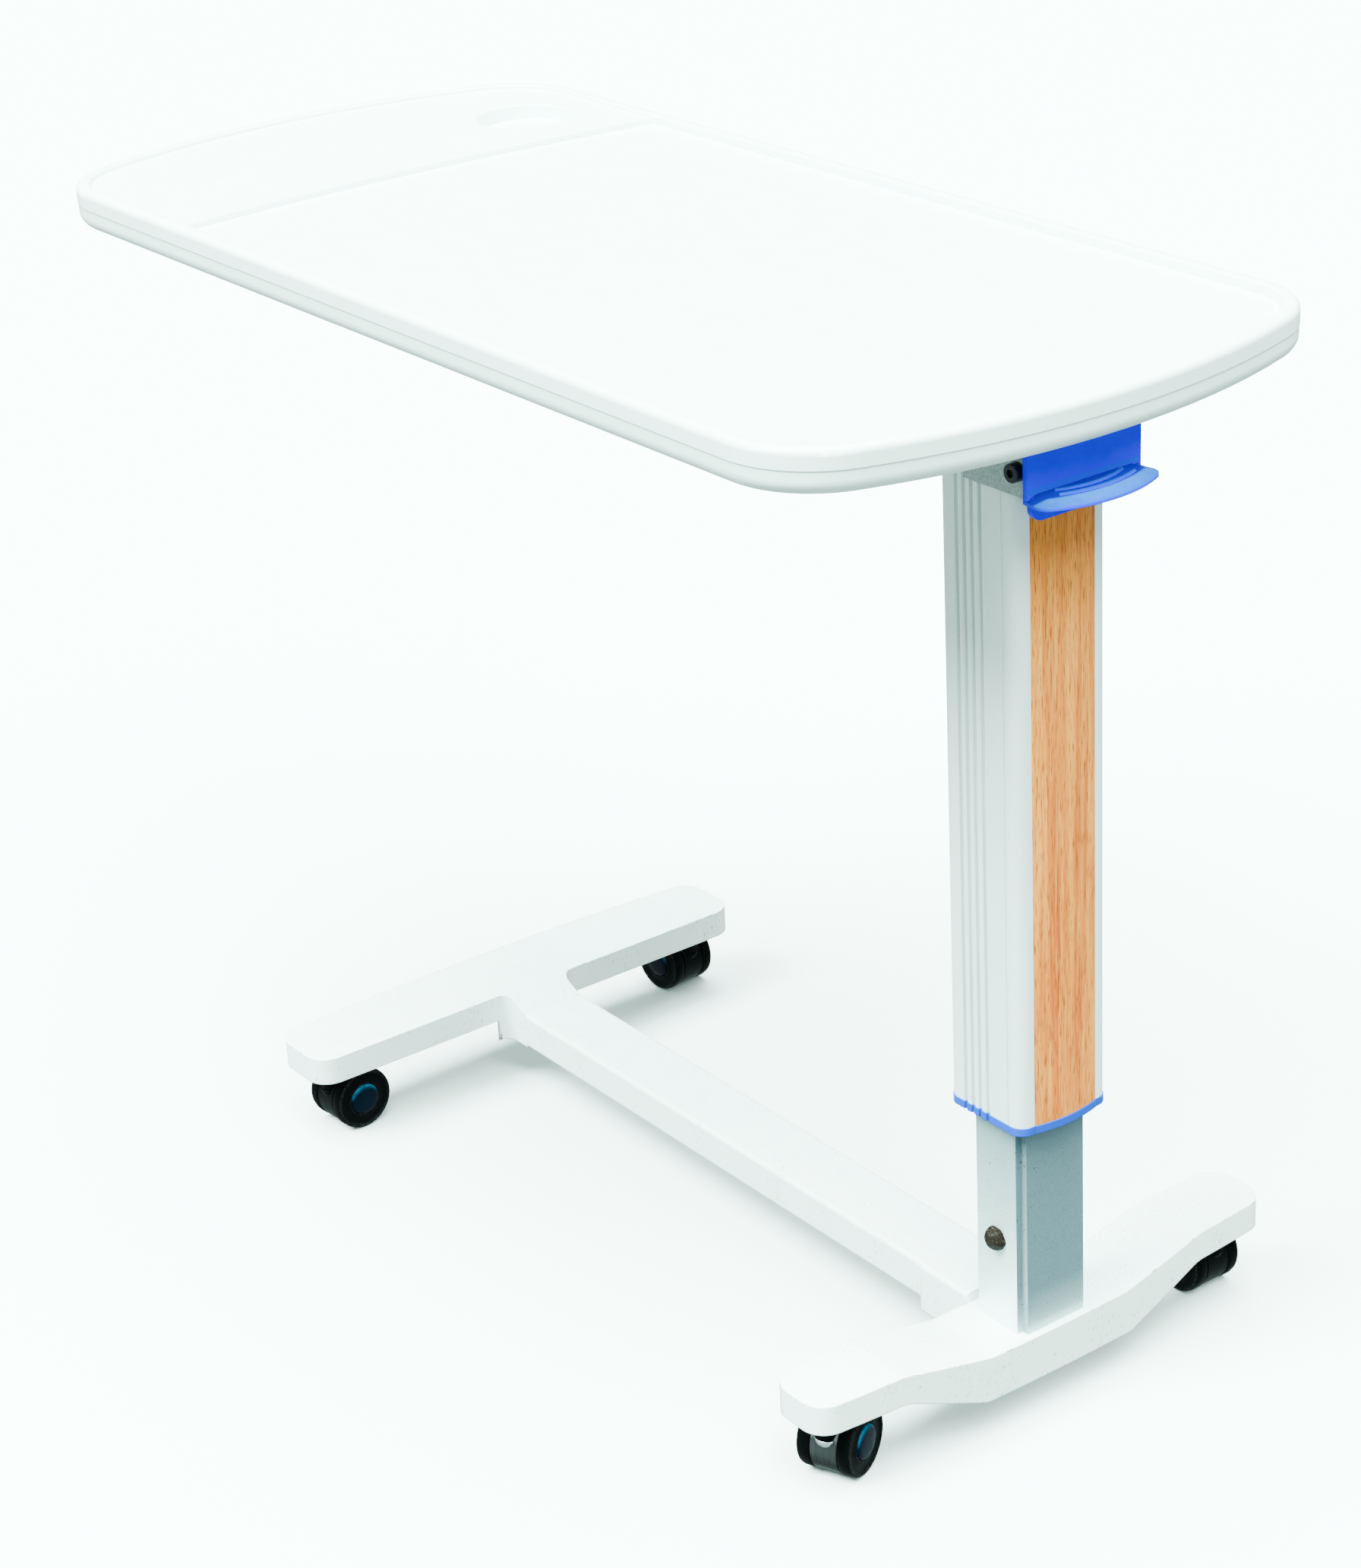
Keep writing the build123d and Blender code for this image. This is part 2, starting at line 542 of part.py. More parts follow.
def column_end_ring():
    """Moulded ring under the outer column, with a guide collar inside it."""
    z0 = OUTER_BOTTOM_Z - RING_T
    rim = extrude(Pos(0, 0, z0) * outer_profile(0.6), RING_T)
    bow = extrude(Pos(0, 0, z0) * Pos(0.8, 0) * insert_profile(), RING_T)
    collar_x0, collar_x1 = OUTER_X0 + OUTER_WALL + 0.1, OUTER_X1 - OUTER_WALL - 0.1
    collar_y = OUTER_Y / 2 - OUTER_WALL - 0.1
    collar = box(collar_x0, collar_x1, -collar_y, collar_y, OUTER_BOTTOM_Z, OUTER_BOTTOM_Z + RING_COLLAR)
    collar = fillet(upright_edges(collar), 4)
    for x, y in column_screw_places():
        collar = collar - rod_z(x, y, OUTER_BOTTOM_Z, OUTER_BOTTOM_Z + RING_COLLAR, 3.9)
    opening = box(INNER_X0 - SLIDE_GAP, INNER_X1 + SLIDE_GAP, -INNER_Y / 2 - SLIDE_GAP,
                  INNER_Y / 2 + SLIDE_GAP, z0, OUTER_BOTTOM_Z + RING_COLLAR)
    body = rim + bow + collar - opening
    for side in (-1, 1):
        for x in FLUTE_X:
            y0, y1 = sorted((side * (OUTER_Y / 2 - 0.6), side * (OUTER_Y / 2 + 1)))
            body = body - box(x - 1.1, x + 1.1, y0, y1, z0, OUTER_BOTTOM_Z)
    return body


def inner_section():
    """Rectangle with a small step at each corner."""
    body = Pos(COLUMN_X, 0) * Rectangle(INNER_X, INNER_Y)
    notch = INNER_NOTCH
    for sx in (-1, 1):
        for sy in (-1, 1):
            cx = COLUMN_X + sx * (INNER_X - notch) / 2
            cy = sy * (INNER_Y - notch) / 2
            body = body - Pos(cx, cy) * Rectangle(notch, notch)
    return body


def inner_column():
    length = INNER_TOP_Z - NEAR_TOP_Z
    body = extrude(Pos(0, 0, NEAR_TOP_Z) * inner_section(), length)
    wall = 2 * INNER_WALL
    bore = Pos(COLUMN_X, 0) * RectangleRounded(INNER_X - wall, INNER_Y - wall, INNER_BORE_R)
    body = body - extrude(Pos(0, 0, NEAR_TOP_Z) * bore, length)
    return body - rod_y(COLUMN_X, BOLT_Z, -INNER_Y / 2, INNER_Y / 2, BOLT_R + 0.1)


def column_glide():
    """Nylon collar on the head of the inner column, running inside the outer one."""
    z1 = INNER_TOP_Z + 2
    z0 = z1 - GLIDE_HEIGHT
    gap = OUTER_WALL + SLIDE_GAP
    body = box(OUTER_X0 + gap, OUTER_X1 - gap, -OUTER_Y / 2 + gap, OUTER_Y / 2 - gap, z0, z1)
    body = fillet(upright_edges(body), 4)
    for x, y in column_screw_places():
        body = body - rod_z(x, y, z0, z1, 4.2)
    body = body - extrude(Pos(0, 0, z0) * inner_section(), GLIDE_HEIGHT - 2)
    return body - rod_z(COLUMN_X, 0, z0, z1, CYL_R + 1)


def column_plug():
    """Block welded to the foot that the inner column stands over."""
    half_x = INNER_X / 2 - INNER_WALL - FIT_GAP
    half_y = INNER_Y / 2 - INNER_WALL - FIT_GAP
    top_z = BOLT_Z + PLUG_ABOVE_BOLT
    body = box(COLUMN_X - half_x, COLUMN_X + half_x, -half_y, half_y, NEAR_TOP_Z, top_z)
    body = fillet(upright_edges(body), INNER_BORE_R)
    body = body - rod_z(COLUMN_X, 0, PLUG_TOP_Z, top_z, CYL_R + SLIDE_GAP)
    body = body - rod_y(COLUMN_X, BOLT_Z, -half_y, -CYL_R, BOLT_R + 0.02)
    return body - rod_y(COLUMN_X, BOLT_Z, CYL_R, half_y, BOLT_R + 0.02)


def column_bolts():
    """Dome head bolts, one from each side, through the column into the plug."""
    bolts = []
    for side in (-1, 1):
        face_y = side * INNER_Y / 2
        y0, y1 = sorted((face_y, side * (CYL_R + 1.6)))
        shank = rod_y(COLUMN_X, BOLT_Z, y0, y1, BOLT_R)
        dome = Pos(COLUMN_X, face_y, BOLT_Z) * Sphere(DOME_R)
        f0, f1 = sorted((face_y, face_y + side * DOME_HEIGHT))
        dome = dome & rod_y(COLUMN_X, BOLT_Z, f0, f1, DOME_R + 1)
        bolts.append(shank + dome)
    return group(bolts)


# ---- base --------------------------------------------------------------------------------

def foot_plan(x0, x1, bow_front, bow_back):
    """Plan of a foot: round corners and one bowed long side."""
    half = FOOT_HALF
    front = Line((x1, -half), (x1, half))
    back = Line((x0, half), (x0, -half))
    if bow_front:
        front = ThreePointArc((x1, -half), (x1 + bow_front, 0), (x1, half))
    if bow_back:
        back = ThreePointArc((x0, half), (x0 - bow_back, 0), (x0, -half))
    return make_face([Line((x0, -half), (x1, -half)), front, Line((x1, half), (x0, half)), back])


def near_foot_profile():
    """Side profile: high thin ends and a dropped, deeper centre."""
    half, y0, y1 = FOOT_HALF + 1, DROP_Y0, DROP_Y1
    points = [
        (-half, FOOT_UNDERSIDE_Z), (-y1, FOOT_UNDERSIDE_Z), (-y0, NEAR_BOTTOM_Z),
        (y0, NEAR_BOTTOM_Z), (y1, FOOT_UNDERSIDE_Z), (half, FOOT_UNDERSIDE_Z),
        (half, FOOT_TOP_Z), (y1 + 2, FOOT_TOP_Z), (y0 - 4, NEAR_TOP_Z),
        (-y0 + 4, NEAR_TOP_Z), (-y1 - 2, FOOT_TOP_Z), (-half, FOOT_TOP_Z),
    ]
    face = make_face(Polyline(*points, close=True))
    bends = [v for v in face.vertices() if abs(v.X) < half - 1]
    face = fillet([v for v in bends if v.Y > NEAR_BOTTOM_Z + 1], 24)
    keel = [v for v in face.vertices() if v.Y < NEAR_BOTTOM_Z + 1]
    return fillet(keel, 5)


def near_foot():
    plan = foot_plan(NEAR_X0, NEAR_X1, NEAR_BOW, 0)
    body = extrude(Pos(0, 0, NEAR_BOTTOM_Z - 5) * plan, FOOT_TOP_Z - NEAR_BOTTOM_Z + 10)
    body = fillet(upright_edges(body), FOOT_END_R)
    face = Plane.YZ * near_foot_profile()
    slab = extrude(Pos(NEAR_X0 - 5, 0, 0) * face, NEAR_X1 - NEAR_X0 + 30)
    body = body & slab
    for y in (-CASTER_Y, CASTER_Y):
        body = body - rod_z(NEAR_CASTER_X, y, FOOT_UNDERSIDE_Z, FOOT_UNDERSIDE_Z + BUSH_DEPTH, BUSH_R)
    return body


def stub_plan(half):
    """Plan of the crossbar stub, flared where it runs into the foot."""
    flare_x, mid = FAR_X1 + STUB_FLARE, STUB_FLARE * (1 - sqrt(0.5))
    return make_face([
        Line((FAR_X1 - 30, -half - STUB_FLARE), (FAR_X1, -half - STUB_FLARE)),
        ThreePointArc((FAR_X1, -half - STUB_FLARE), (FAR_X1 + mid, -half - mid), (flare_x, -half)),
        Line((flare_x, -half), (BAR_JOINT_X, -half)),
        Line((BAR_JOINT_X, -half), (BAR_JOINT_X, half)),
        Line((BAR_JOINT_X, half), (flare_x, half)),
        ThreePointArc((flare_x, half), (FAR_X1 + mid, half + mid), (FAR_X1, half + STUB_FLARE)),
        Line((FAR_X1, half + STUB_FLARE), (FAR_X1 - 30, half + STUB_FLARE)),
        Line((FAR_X1 - 30, half + STUB_FLARE), (FAR_X1 - 30, -half - STUB_FLARE)),
    ])


def far_foot():
    plan = foot_plan(FAR_X0, FAR_X1, 0, FAR_BOW)
    body = extrude(Pos(0, 0, FOOT_UNDERSIDE_Z) * plan, FOOT_T)
    body = fillet(upright_edges(body), FOOT_END_R)
    stub_half = BAR_WIDTH / 2 - 0.6
    stub_bottom = BAR_BOTTOM_Z - 0.5
    side = make_face(Polyline(
        (FAR_X1 - 30, FOOT_TOP_Z), (FAR_X1 + 2, FOOT_TOP_Z), (BAR_JOINT_X, BAR_TOP_Z - 0.6),
        (BAR_JOINT_X, stub_bottom), (FAR_X1, stub_bottom), (FAR_X1, FOOT_UNDERSIDE_Z),
        (FAR_X1 - 30, FOOT_UNDERSIDE_Z), close=True))
    stub = extrude(Plane.XZ * side, stub_half + STUB_FLARE, both=True)
    stub = stub & extrude(Pos(0, 0, stub_bottom - 1) * stub_plan(stub_half), FOOT_TOP_Z - stub_bottom + 2)
    body = body + stub
    spigot_half = BAR_WIDTH / 2 - BAR_WALL - FIT_GAP
    spigot_bottom = BAR_BOTTOM_Z + BAR_WALL + FIT_GAP
    body = body + box(BAR_JOINT_X, BAR_JOINT_X + SPIGOT_LENGTH, -spigot_half, spigot_half,
                      spigot_bottom, BAR_TOP_Z - BAR_WALL - FIT_GAP)
    for y in (-CASTER_Y, CASTER_Y):
        body = body - rod_z(FAR_CASTER_X, y, FOOT_UNDERSIDE_Z, FOOT_UNDERSIDE_Z + BUSH_DEPTH, BUSH_R)
    return body - rod_z(BAR_SCREW_X[0], 0, spigot_bottom, BAR_BOTTOM_Z + 14, 3.02)


def crossbar():
    x1 = NEAR_X0 - 4
    half = BAR_WIDTH / 2
    body = box(BAR_JOINT_X, x1, -half, half, BAR_BOTTOM_Z, BAR_TOP_Z)
    body = fillet(body.edges().filter_by(Axis.X), 3)
    body = body - box(BAR_JOINT_X, x1, -half + BAR_WALL, half - BAR_WALL,
                      BAR_BOTTOM_Z + BAR_WALL, BAR_TOP_Z - BAR_WALL)
    for x in BAR_SCREW_X:
        body = body - rod_z(x, 0, BAR_BOTTOM_Z, BAR_BOTTOM_Z + BAR_WALL, BAR_HOLE_R)
    return body


def crossbar_sleeve():
    """Socket welded to the back of the near foot; the crossbar slides into it."""
    half = BAR_WIDTH / 2
    grow = SLEEVE_WALL
    body = box(SLEEVE_X, NEAR_X0, -half - grow, half + grow, SLEEVE_BOTTOM_Z, BAR_TOP_Z + 1.2)
    body = fillet(body.edges().filter_by(Axis.X), 3)
    body = body - box(SLEEVE_X, NEAR_X0 - 4, -half, half, BAR_BOTTOM_Z, BAR_TOP_Z)
    x = BAR_SCREW_X[1]
    return body - rod_z(x, 0, SLEEVE_BOTTOM_Z, BAR_BOTTOM_Z, BAR_HOLE_R)


def crossbar_screws():
    """Screws from below: one at the far stub, one at the sleeve, which has a nut plate."""
    far_x, near_x = BAR_SCREW_X
    screws = []
    for x, under, reach in ((far_x, BAR_BOTTOM_Z, 13.0), (near_x, SLEEVE_BOTTOM_Z, 12.0)):
        head = rod_z(x, 0, under - 3.5, under, 5.2)
        head = fillet(level_edges(head, under - 3.5), 1.2)
        head = head - Pos(x, 0, under - 3.5) * extrude(RegularPolygon(2.4, 6), 2)
        screws.append(head + rod_z(x, 0, under, under + reach, 3.0))
    return group(screws)


def nut_plate():
    x = BAR_SCREW_X[1]
    z0, z1 = BAR_BOTTOM_Z + BAR_WALL, BAR_BOTTOM_Z + BAR_WALL + NUT_PLATE_T
    half = NUT_PLATE_HALF
    plate = box(x - half, x + half, -half, half, z0, z1)
    return plate - rod_z(x, 0, z0, z1, 3.02)


def caster_bushes():
    bushes = []
    for _, x, y, _ in CASTERS:
        bush = rod_z(x, y, FOOT_UNDERSIDE_Z, FOOT_UNDERSIDE_Z + BUSH_DEPTH, BUSH_R - 0.02)
        bore = rod_z(x, y, FOOT_UNDERSIDE_Z, FOOT_UNDERSIDE_Z + BUSH_DEPTH - 1, STEM_R + 0.02)
        bushes.append(bush - bore)
    return group(bushes)


def caster_stems():
    """Threaded stems with a flange; each hood turns on the lower end."""
    stems = []
    for _, x, y, _ in CASTERS:
        stem = rod_z(x, y, STEM_BOTTOM_Z, FOOT_UNDERSIDE_Z + BUSH_DEPTH - 2, STEM_R)
        stems.append(stem + rod_z(x, y, DOME_TOP_Z + SLIDE_GAP, FOOT_UNDERSIDE_Z, DOME_OUTER_R - SLIDE_GAP))
    return group(stems)


def caster_frame(x, y, angle):
    """Places a caster drawn with its pivot on Z and its trail along +X."""
    return Pos(x, y, 0) * Rot(0, 0, angle)


def caster_hood():
    """Swivel body: a web between the wheels, a curved cover on the stem side and a dome."""
    half = WHEEL_OFFSET - SLIDE_GAP
    wide = half + 1
    cover = rod_y(TRAIL, WHEEL_R, -half, half, COVER_R)
    cover = cover - box(COVER_FRONT_X, TRAIL + WHEEL_R, -wide, wide, 0, 2 * WHEEL_R)
    cover = cover - box(-WHEEL_R, TRAIL + WHEEL_R, -wide, wide, 0, HOOD_BOTTOM_Z)
    dome = rod_z(0, 0, STEM_BOTTOM_Z + 1, DOME_TOP_Z, DOME_OUTER_R)
    dome = fillet(level_edges(dome, DOME_TOP_Z), 3)
    body = cover + dome
    body = body - rod_z(0, 0, STEM_BOTTOM_Z - 1, DOME_TOP_Z, STEM_R + RUNNING_GAP)
    return body - rod_y(TRAIL, WHEEL_R, -half, half, AXLE_R + 0.02)


def caster_axle():
    reach = WHEEL_FACE - CAP_SEAT - 0.3
    return rod_y(TRAIL, WHEEL_R, -reach, reach, AXLE_R)


def wheel_rims(wheel, side):
    """Circular edges of a wheel, from its inner face outwards."""
    return sorted(wheel.edges().filter_by(GeomType.CIRCLE), key=lambda e: side * e.center().Y)


def caster_wheel(side):
    y0, y1 = sorted((side * WHEEL_OFFSET, side * WHEEL_FACE))
    wheel = rod_y(TRAIL, WHEEL_R, y0, y1, WHEEL_R)
    wheel = fillet(wheel_rims(wheel, side)[-1], WHEEL_OUTER_EDGE_R)
    wheel = fillet(wheel_rims(wheel, side)[0], WHEEL_INNER_EDGE_R)
    f0, f1 = sorted((side * (WHEEL_FACE - CAP_SEAT), side * WHEEL_FACE))
    wheel = wheel - rod_y(TRAIL, WHEEL_R, f0, f1, CAP_R)
    return wheel - rod_y(TRAIL, WHEEL_R, y0, y1, AXLE_R + RUNNING_GAP)


def caster_cap(side):
    """Domed cap pressed into the outer face of a wheel."""
    y0, y1 = sorted((side * (WHEEL_FACE - CAP_SEAT), side * (WHEEL_FACE + CAP_RISE)))
    cap = rod_y(TRAIL, WHEEL_R, y0, y1, CAP_R - 0.02)
    return fillet(wheel_rims(cap, side)[-1], 1.4)


# ---- write every sub-part ----------------------------------------------------------------

FIXED_PARTS = {
    "tabletop_upper": tabletop_upper,
    "tabletop_lower": tabletop_lower,
    "shell_screws": shell_screws,
    "table_frame": table_frame,
    "column_bracket": column_bracket,
    "bracket_screws": bracket_screws,
    "column_screws": column_screws,
    "pivot_pin": pivot_pin,
    "height_lever": height_lever,
    "lever_tongue": lever_tongue,
    "lever_spring": lever_spring,
    "rod_head": rod_head,
    "head_screws": head_screws,
    "gas_rod": gas_rod,
    "release_pin": release_pin,
    "gas_cylinder": gas_cylinder,
    "outer_column": outer_column,
    "wood_insert": wood_insert,
    "column_end_ring": column_end_ring,
    "inner_column": inner_column,
    "column_glide": column_glide,
    "column_plug": column_plug,
    "column_bolts": column_bolts,
    "near_foot": near_foot,
    "far_foot": far_foot,
    "crossbar": crossbar,
    "crossbar_sleeve": crossbar_sleeve,
    "crossbar_screws": crossbar_screws,
    "nut_plate": nut_plate,
    "caster_bushes": caster_bushes,
    "caster_stems": caster_stems,
}

for name, make in FIXED_PARTS.items():
    save(make(), name)

for name, pivot_x, pivot_y, trail_angle in CASTERS:
    place = caster_frame(pivot_x, pivot_y, trail_angle)
    save(place * caster_hood(), f"{name}_hood")
    save(place * caster_axle(), f"{name}_axle")
    for side, label in ((1, "a"), (-1, "b")):
        save(place * caster_wheel(side), f"{name}_wheel_{label}")
        save(place * caster_cap(side), f"{name}_cap_{label}")
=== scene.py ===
import json
import math
import random

import bmesh
import bpy
from mathutils import Matrix, Vector


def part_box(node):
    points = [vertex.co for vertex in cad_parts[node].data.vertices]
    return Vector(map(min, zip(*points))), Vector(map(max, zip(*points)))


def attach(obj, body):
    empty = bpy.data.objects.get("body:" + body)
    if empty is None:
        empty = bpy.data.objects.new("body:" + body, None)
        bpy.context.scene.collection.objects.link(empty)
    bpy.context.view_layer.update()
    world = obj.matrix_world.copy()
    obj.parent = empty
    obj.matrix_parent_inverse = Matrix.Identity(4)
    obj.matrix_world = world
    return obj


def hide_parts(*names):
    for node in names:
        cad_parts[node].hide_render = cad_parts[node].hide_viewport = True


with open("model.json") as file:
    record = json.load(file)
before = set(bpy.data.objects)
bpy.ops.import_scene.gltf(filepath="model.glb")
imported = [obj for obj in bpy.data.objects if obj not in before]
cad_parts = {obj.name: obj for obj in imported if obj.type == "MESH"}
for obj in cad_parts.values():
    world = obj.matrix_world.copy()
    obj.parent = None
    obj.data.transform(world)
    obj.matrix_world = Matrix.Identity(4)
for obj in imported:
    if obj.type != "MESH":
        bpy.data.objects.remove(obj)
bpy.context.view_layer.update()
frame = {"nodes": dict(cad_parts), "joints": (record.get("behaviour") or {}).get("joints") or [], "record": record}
NODES = frame["nodes"]
JOINTS = {joint["name"]: joint for joint in frame["joints"]}
MM = 0.001

# ---- palette: linear RGB --------------------------------------------------------------------

TRAY_WHITE = (0.86, 0.935, 0.915)
TRAY_CLOUD = (0.84, 0.92, 0.90)
SHELL_WHITE = (0.80, 0.89, 0.865)
SHELL_CLOUD = (0.77, 0.87, 0.845)
PAINT_WHITE = (0.92, 0.965, 0.95)
PAINT_CLOUD = (0.88, 0.94, 0.92)
CHIP_GREY = (0.05, 0.055, 0.055)
GRIME = (0.36, 0.38, 0.36)
SCUFF_GREY = (0.16, 0.18, 0.18)
SILVER = (0.88, 0.955, 0.945)
# painted shade and painted highlight along the column flutes
GROOVE_SHADE = (0.36, 0.44, 0.44)
GROOVE_HIGHLIGHT = (0.97, 1.0, 1.0)
# inner column: the end-face colours are painted shade, the side-face colours painted light, the step colour
# painted shade
BARE_SHADED_END = (0.150, 0.230, 0.270)
BARE_SHADED_GRAIN = (0.088, 0.148, 0.182)
BARE_END_FOOT = (0.70, 0.80, 0.80)
BARE_LIT_SIDE_DARK = (0.215, 0.310, 0.335)
BARE_LIT_SIDE_LIGHT = (0.270, 0.375, 0.400)
BARE_SIDE_FOOT = (0.72, 0.82, 0.82)
BARE_STEP_SHADE = (0.12, 0.18, 0.21)
BRACKET_GREY = (0.23, 0.265, 0.265)
BRACKET_SPECK = (0.36, 0.41, 0.41)
BLUE = (0.0, 0.0003, 0.95)
BLUE_FLOW = (0.0, 0.002, 0.80)
# lever: painted shade for faces turned upward, then a painted highlight for the rim
BLUE_DECK_SHADE = (0.0, 0.006, 0.26)
BLUE_RIM_HIGHLIGHT = (0.002, 0.125, 0.50)
BLUE_SCRATCH = (0.01, 0.06, 0.30)
TRIM_BLUE = (0.0, 0.050, 0.42)
TRIM_FLOW = (0.0, 0.050, 0.42)
BEECH_LIGHT = (0.93, 0.275, 0.031)
BEECH_PALE = (0.97, 0.42, 0.080)
BEECH_DARK = (0.56, 0.095, 0.007)
BEECH_FLECK = (0.26, 0.035, 0.003)
TYRE_BLACK = (0.0010, 0.0011, 0.0012)
TYRE_DUST = (0.0035, 0.0038, 0.0042)
TYRE_SCUFF = (0.22, 0.23, 0.24)
CAP_TEAL = (0.0002, 0.0022, 0.0065)
CAP_FLOW = (0.0003, 0.0045, 0.013)
# painted sheen on the cap rim
CAP_SHEEN = (0.002, 0.13, 0.24)
RUST = (0.0070, 0.0036, 0.0022)
RUST_PLATING = (0.012, 0.0085, 0.0070)
RUST_PIT = (0.004, 0.002, 0.0015)
# painted glint on the bolt head
RUST_GLINT = (0.085, 0.052, 0.034)
OXIDE_BLACK = (0.012, 0.012, 0.014)
OXIDE_RUBBED = (0.10, 0.10, 0.105)
ZINC = (0.62, 0.62, 0.60)
PLAIN_STEEL = (0.42, 0.42, 0.42)
NYLON_BLACK = (0.02, 0.02, 0.022)
NYLON_WHITE = (0.72, 0.72, 0.68)
DULL_HOOD = (0.020, 0.024, 0.028)
BRIGHT_HOOD = (0.62, 0.65, 0.67)
COLLAR = (0.75, 0.80, 0.80)
CASTER_BLACK = (0.0008, 0.0009, 0.001)
FLOOR_WHITE = (0.93, 0.93, 0.93)
STUDIO_TINT = (0.70, 1.0, 0.93)

# ---- places on the CAD parts, in metres -------------------------------------------------------

COLUMN_X = (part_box("outer_column")[0][0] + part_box("outer_column")[1][0]) / 2
FLUTE_OFFSETS = (-0.016, -0.0095, -0.003, 0.004)
INNER_FOOT_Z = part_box("inner_column")[0][2]
INNER_STEP_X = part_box("inner_column")[1][0] - 0.0046
LEVER_FRONT_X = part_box("height_lever")[1][0]
LEVER_DECK_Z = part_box("height_lever")[0][2] + 0.0155
LEVER_BOW_RADIUS = 0.087


# ---- material building --------------------------------------------------------------------

class Surface:
    """One procedural material. Patterns are laid out in the row frame, in metres."""

    def __init__(self, name, colour, roughness, metallic=0.0):
        self.material = bpy.data.materials.new(name)
        self.material.use_nodes = True
        self.tree = self.material.node_tree
        self.shader = self.tree.nodes["Principled BSDF"]
        self.place = self.add("ShaderNodeTexCoord").outputs["Object"]
        self.set("Base Color", (*colour, 1))
        self.set("Roughness", roughness)
        self.set("Metallic", metallic)

    def add(self, kind, **values):
        node = self.tree.nodes.new(kind)
        for key, value in values.items():
            setattr(node, key, value)
        return node

    def set(self, socket, value):
        self.shader.inputs[socket].default_value = value

    def link(self, output, socket):
        self.tree.links.new(output, socket)

    def feed(self, output, socket):
        self.link(output, self.shader.inputs[socket])

    def stretched(self, stretch):
        node = self.add("ShaderNodeMapping")
        node.inputs["Scale"].default_value = stretch
        self.link(self.place, node.inputs["Vector"])
        return node.outputs["Vector"]

    def axes(self, vector):
        """X, Y and Z of a vector output."""
        node = self.add("ShaderNodeSeparateXYZ")
        self.link(vector, node.inputs["Vector"])
        return [node.outputs[axis] for axis in "XYZ"]

    def facing(self, kind):
        """X, Y and Z of the surface normal."""
        return self.axes(self.add("ShaderNodeNewGeometry").outputs[kind])

    def noise(self, scale, detail=3.0, rough=0.5, stretch=(1, 1, 1), warp=0.0):
        """Soft noise from 0 to 1; scale is in features per metre."""
        node = self.add("ShaderNodeTexNoise")
        node.inputs["Scale"].default_value = scale
        node.inputs["Detail"].default_value = detail
        node.inputs["Roughness"].default_value = rough
        node.inputs["Distortion"].default_value = warp
        self.link(self.stretched(stretch), node.inputs["Vector"])
        return node.outputs["Fac"]

    def cells(self, scale):
        """Distance to the nearest of many scattered points."""
        node = self.add("ShaderNodeTexVoronoi")
        node.inputs["Scale"].default_value = scale
        self.link(self.place, node.inputs["Vector"])
        return node.outputs["Distance"]

    def between(self, value, low, high, out_low=0.0, out_high=1.0):
        """Value mapped from low..high to out_low..out_high and held at both ends."""
        node = self.add("ShaderNodeMapRange")
        limits = {"From Min": low, "From Max": high, "To Min": out_low, "To Max": out_high}
        for key, number in limits.items():
            node.inputs[key].default_value = number
        self.link(value, node.inputs["Value"])
        return node.outputs["Result"]

    def math(self, operation, first, second):
        node = self.add("ShaderNodeMath", operation=operation)
        for socket, value in zip(node.inputs, (first, second)):
            if isinstance(value, (int, float)):
                socket.default_value = value
            else:
                self.link(value, socket)
        return node.outputs["Value"]

    def mix(self, amount, first, second):
        """Colour mix; first and second are RGB triples or sockets."""
        node = self.add("ShaderNodeMix", data_type="RGBA")
        self.link(amount, node.inputs["Factor"])
        for socket, value in ((node.inputs[6], first), (node.inputs[7], second)):
            if isinstance(value, tuple):
                socket.default_value = (*value, 1)
            else:
                self.link(value, socket)
        return node.outputs[2]

    def edges(self, radius):
        """0 on flat faces, rising to 1 where an edge is within radius."""
        bevel = self.add("ShaderNodeBevel", samples=6)
        bevel.inputs["Radius"].default_value = radius
        geometry = self.add("ShaderNodeNewGeometry")
        dot = self.add("ShaderNodeVectorMath", operation="DOT_PRODUCT")
        self.link(bevel.outputs["Normal"], dot.inputs[0])
        self.link(geometry.outputs["Normal"], dot.inputs[1])
        return self.between(dot.outputs["Value"], 0.995, 0.90)

    def relief(self, height, distance, strength, soften):
        """Bump from height, over edges softened by a small radius."""
        bump = self.add("ShaderNodeBump")
        bump.inputs["Distance"].default_value = distance
        bump.inputs["Strength"].default_value = strength
        self.link(height, bump.inputs["Height"])
        bevel = self.add("ShaderNodeBevel", samples=6)
        bevel.inputs["Radius"].default_value = soften
        self.link(bevel.outputs["Normal"], bump.inputs["Normal"])
        self.feed(bump.outputs["Normal"], "Normal")


def moulded_plastic(name, colour, tint, roughness):
    """Satin moulded plastic: fine grain, faint cloudiness and a few scuffs."""
    s = Surface(name, colour, roughness)
    cloud = s.between(s.noise(7, 4), 0.35, 0.7)
    scuffs = s.between(s.noise(60, 6, 0.7, (1, 6, 1), 0.6), 0.66, 0.76, 0, 0.35)
    base = s.mix(cloud, colour, tint)
    s.feed(s.mix(scuffs, base, GRIME), "Base Color")
    s.feed(s.between(s.noise(45, 5, 0.6), 0.3, 0.7, roughness - 0.06, roughness + 0.10), "Roughness")
    s.relief(s.noise(1500, 2), 0.00004, 0.5, 0.0006)
    s.set("Coat Weight", 0.08)
    s.set("Coat Roughness", 0.25)
    return s.material


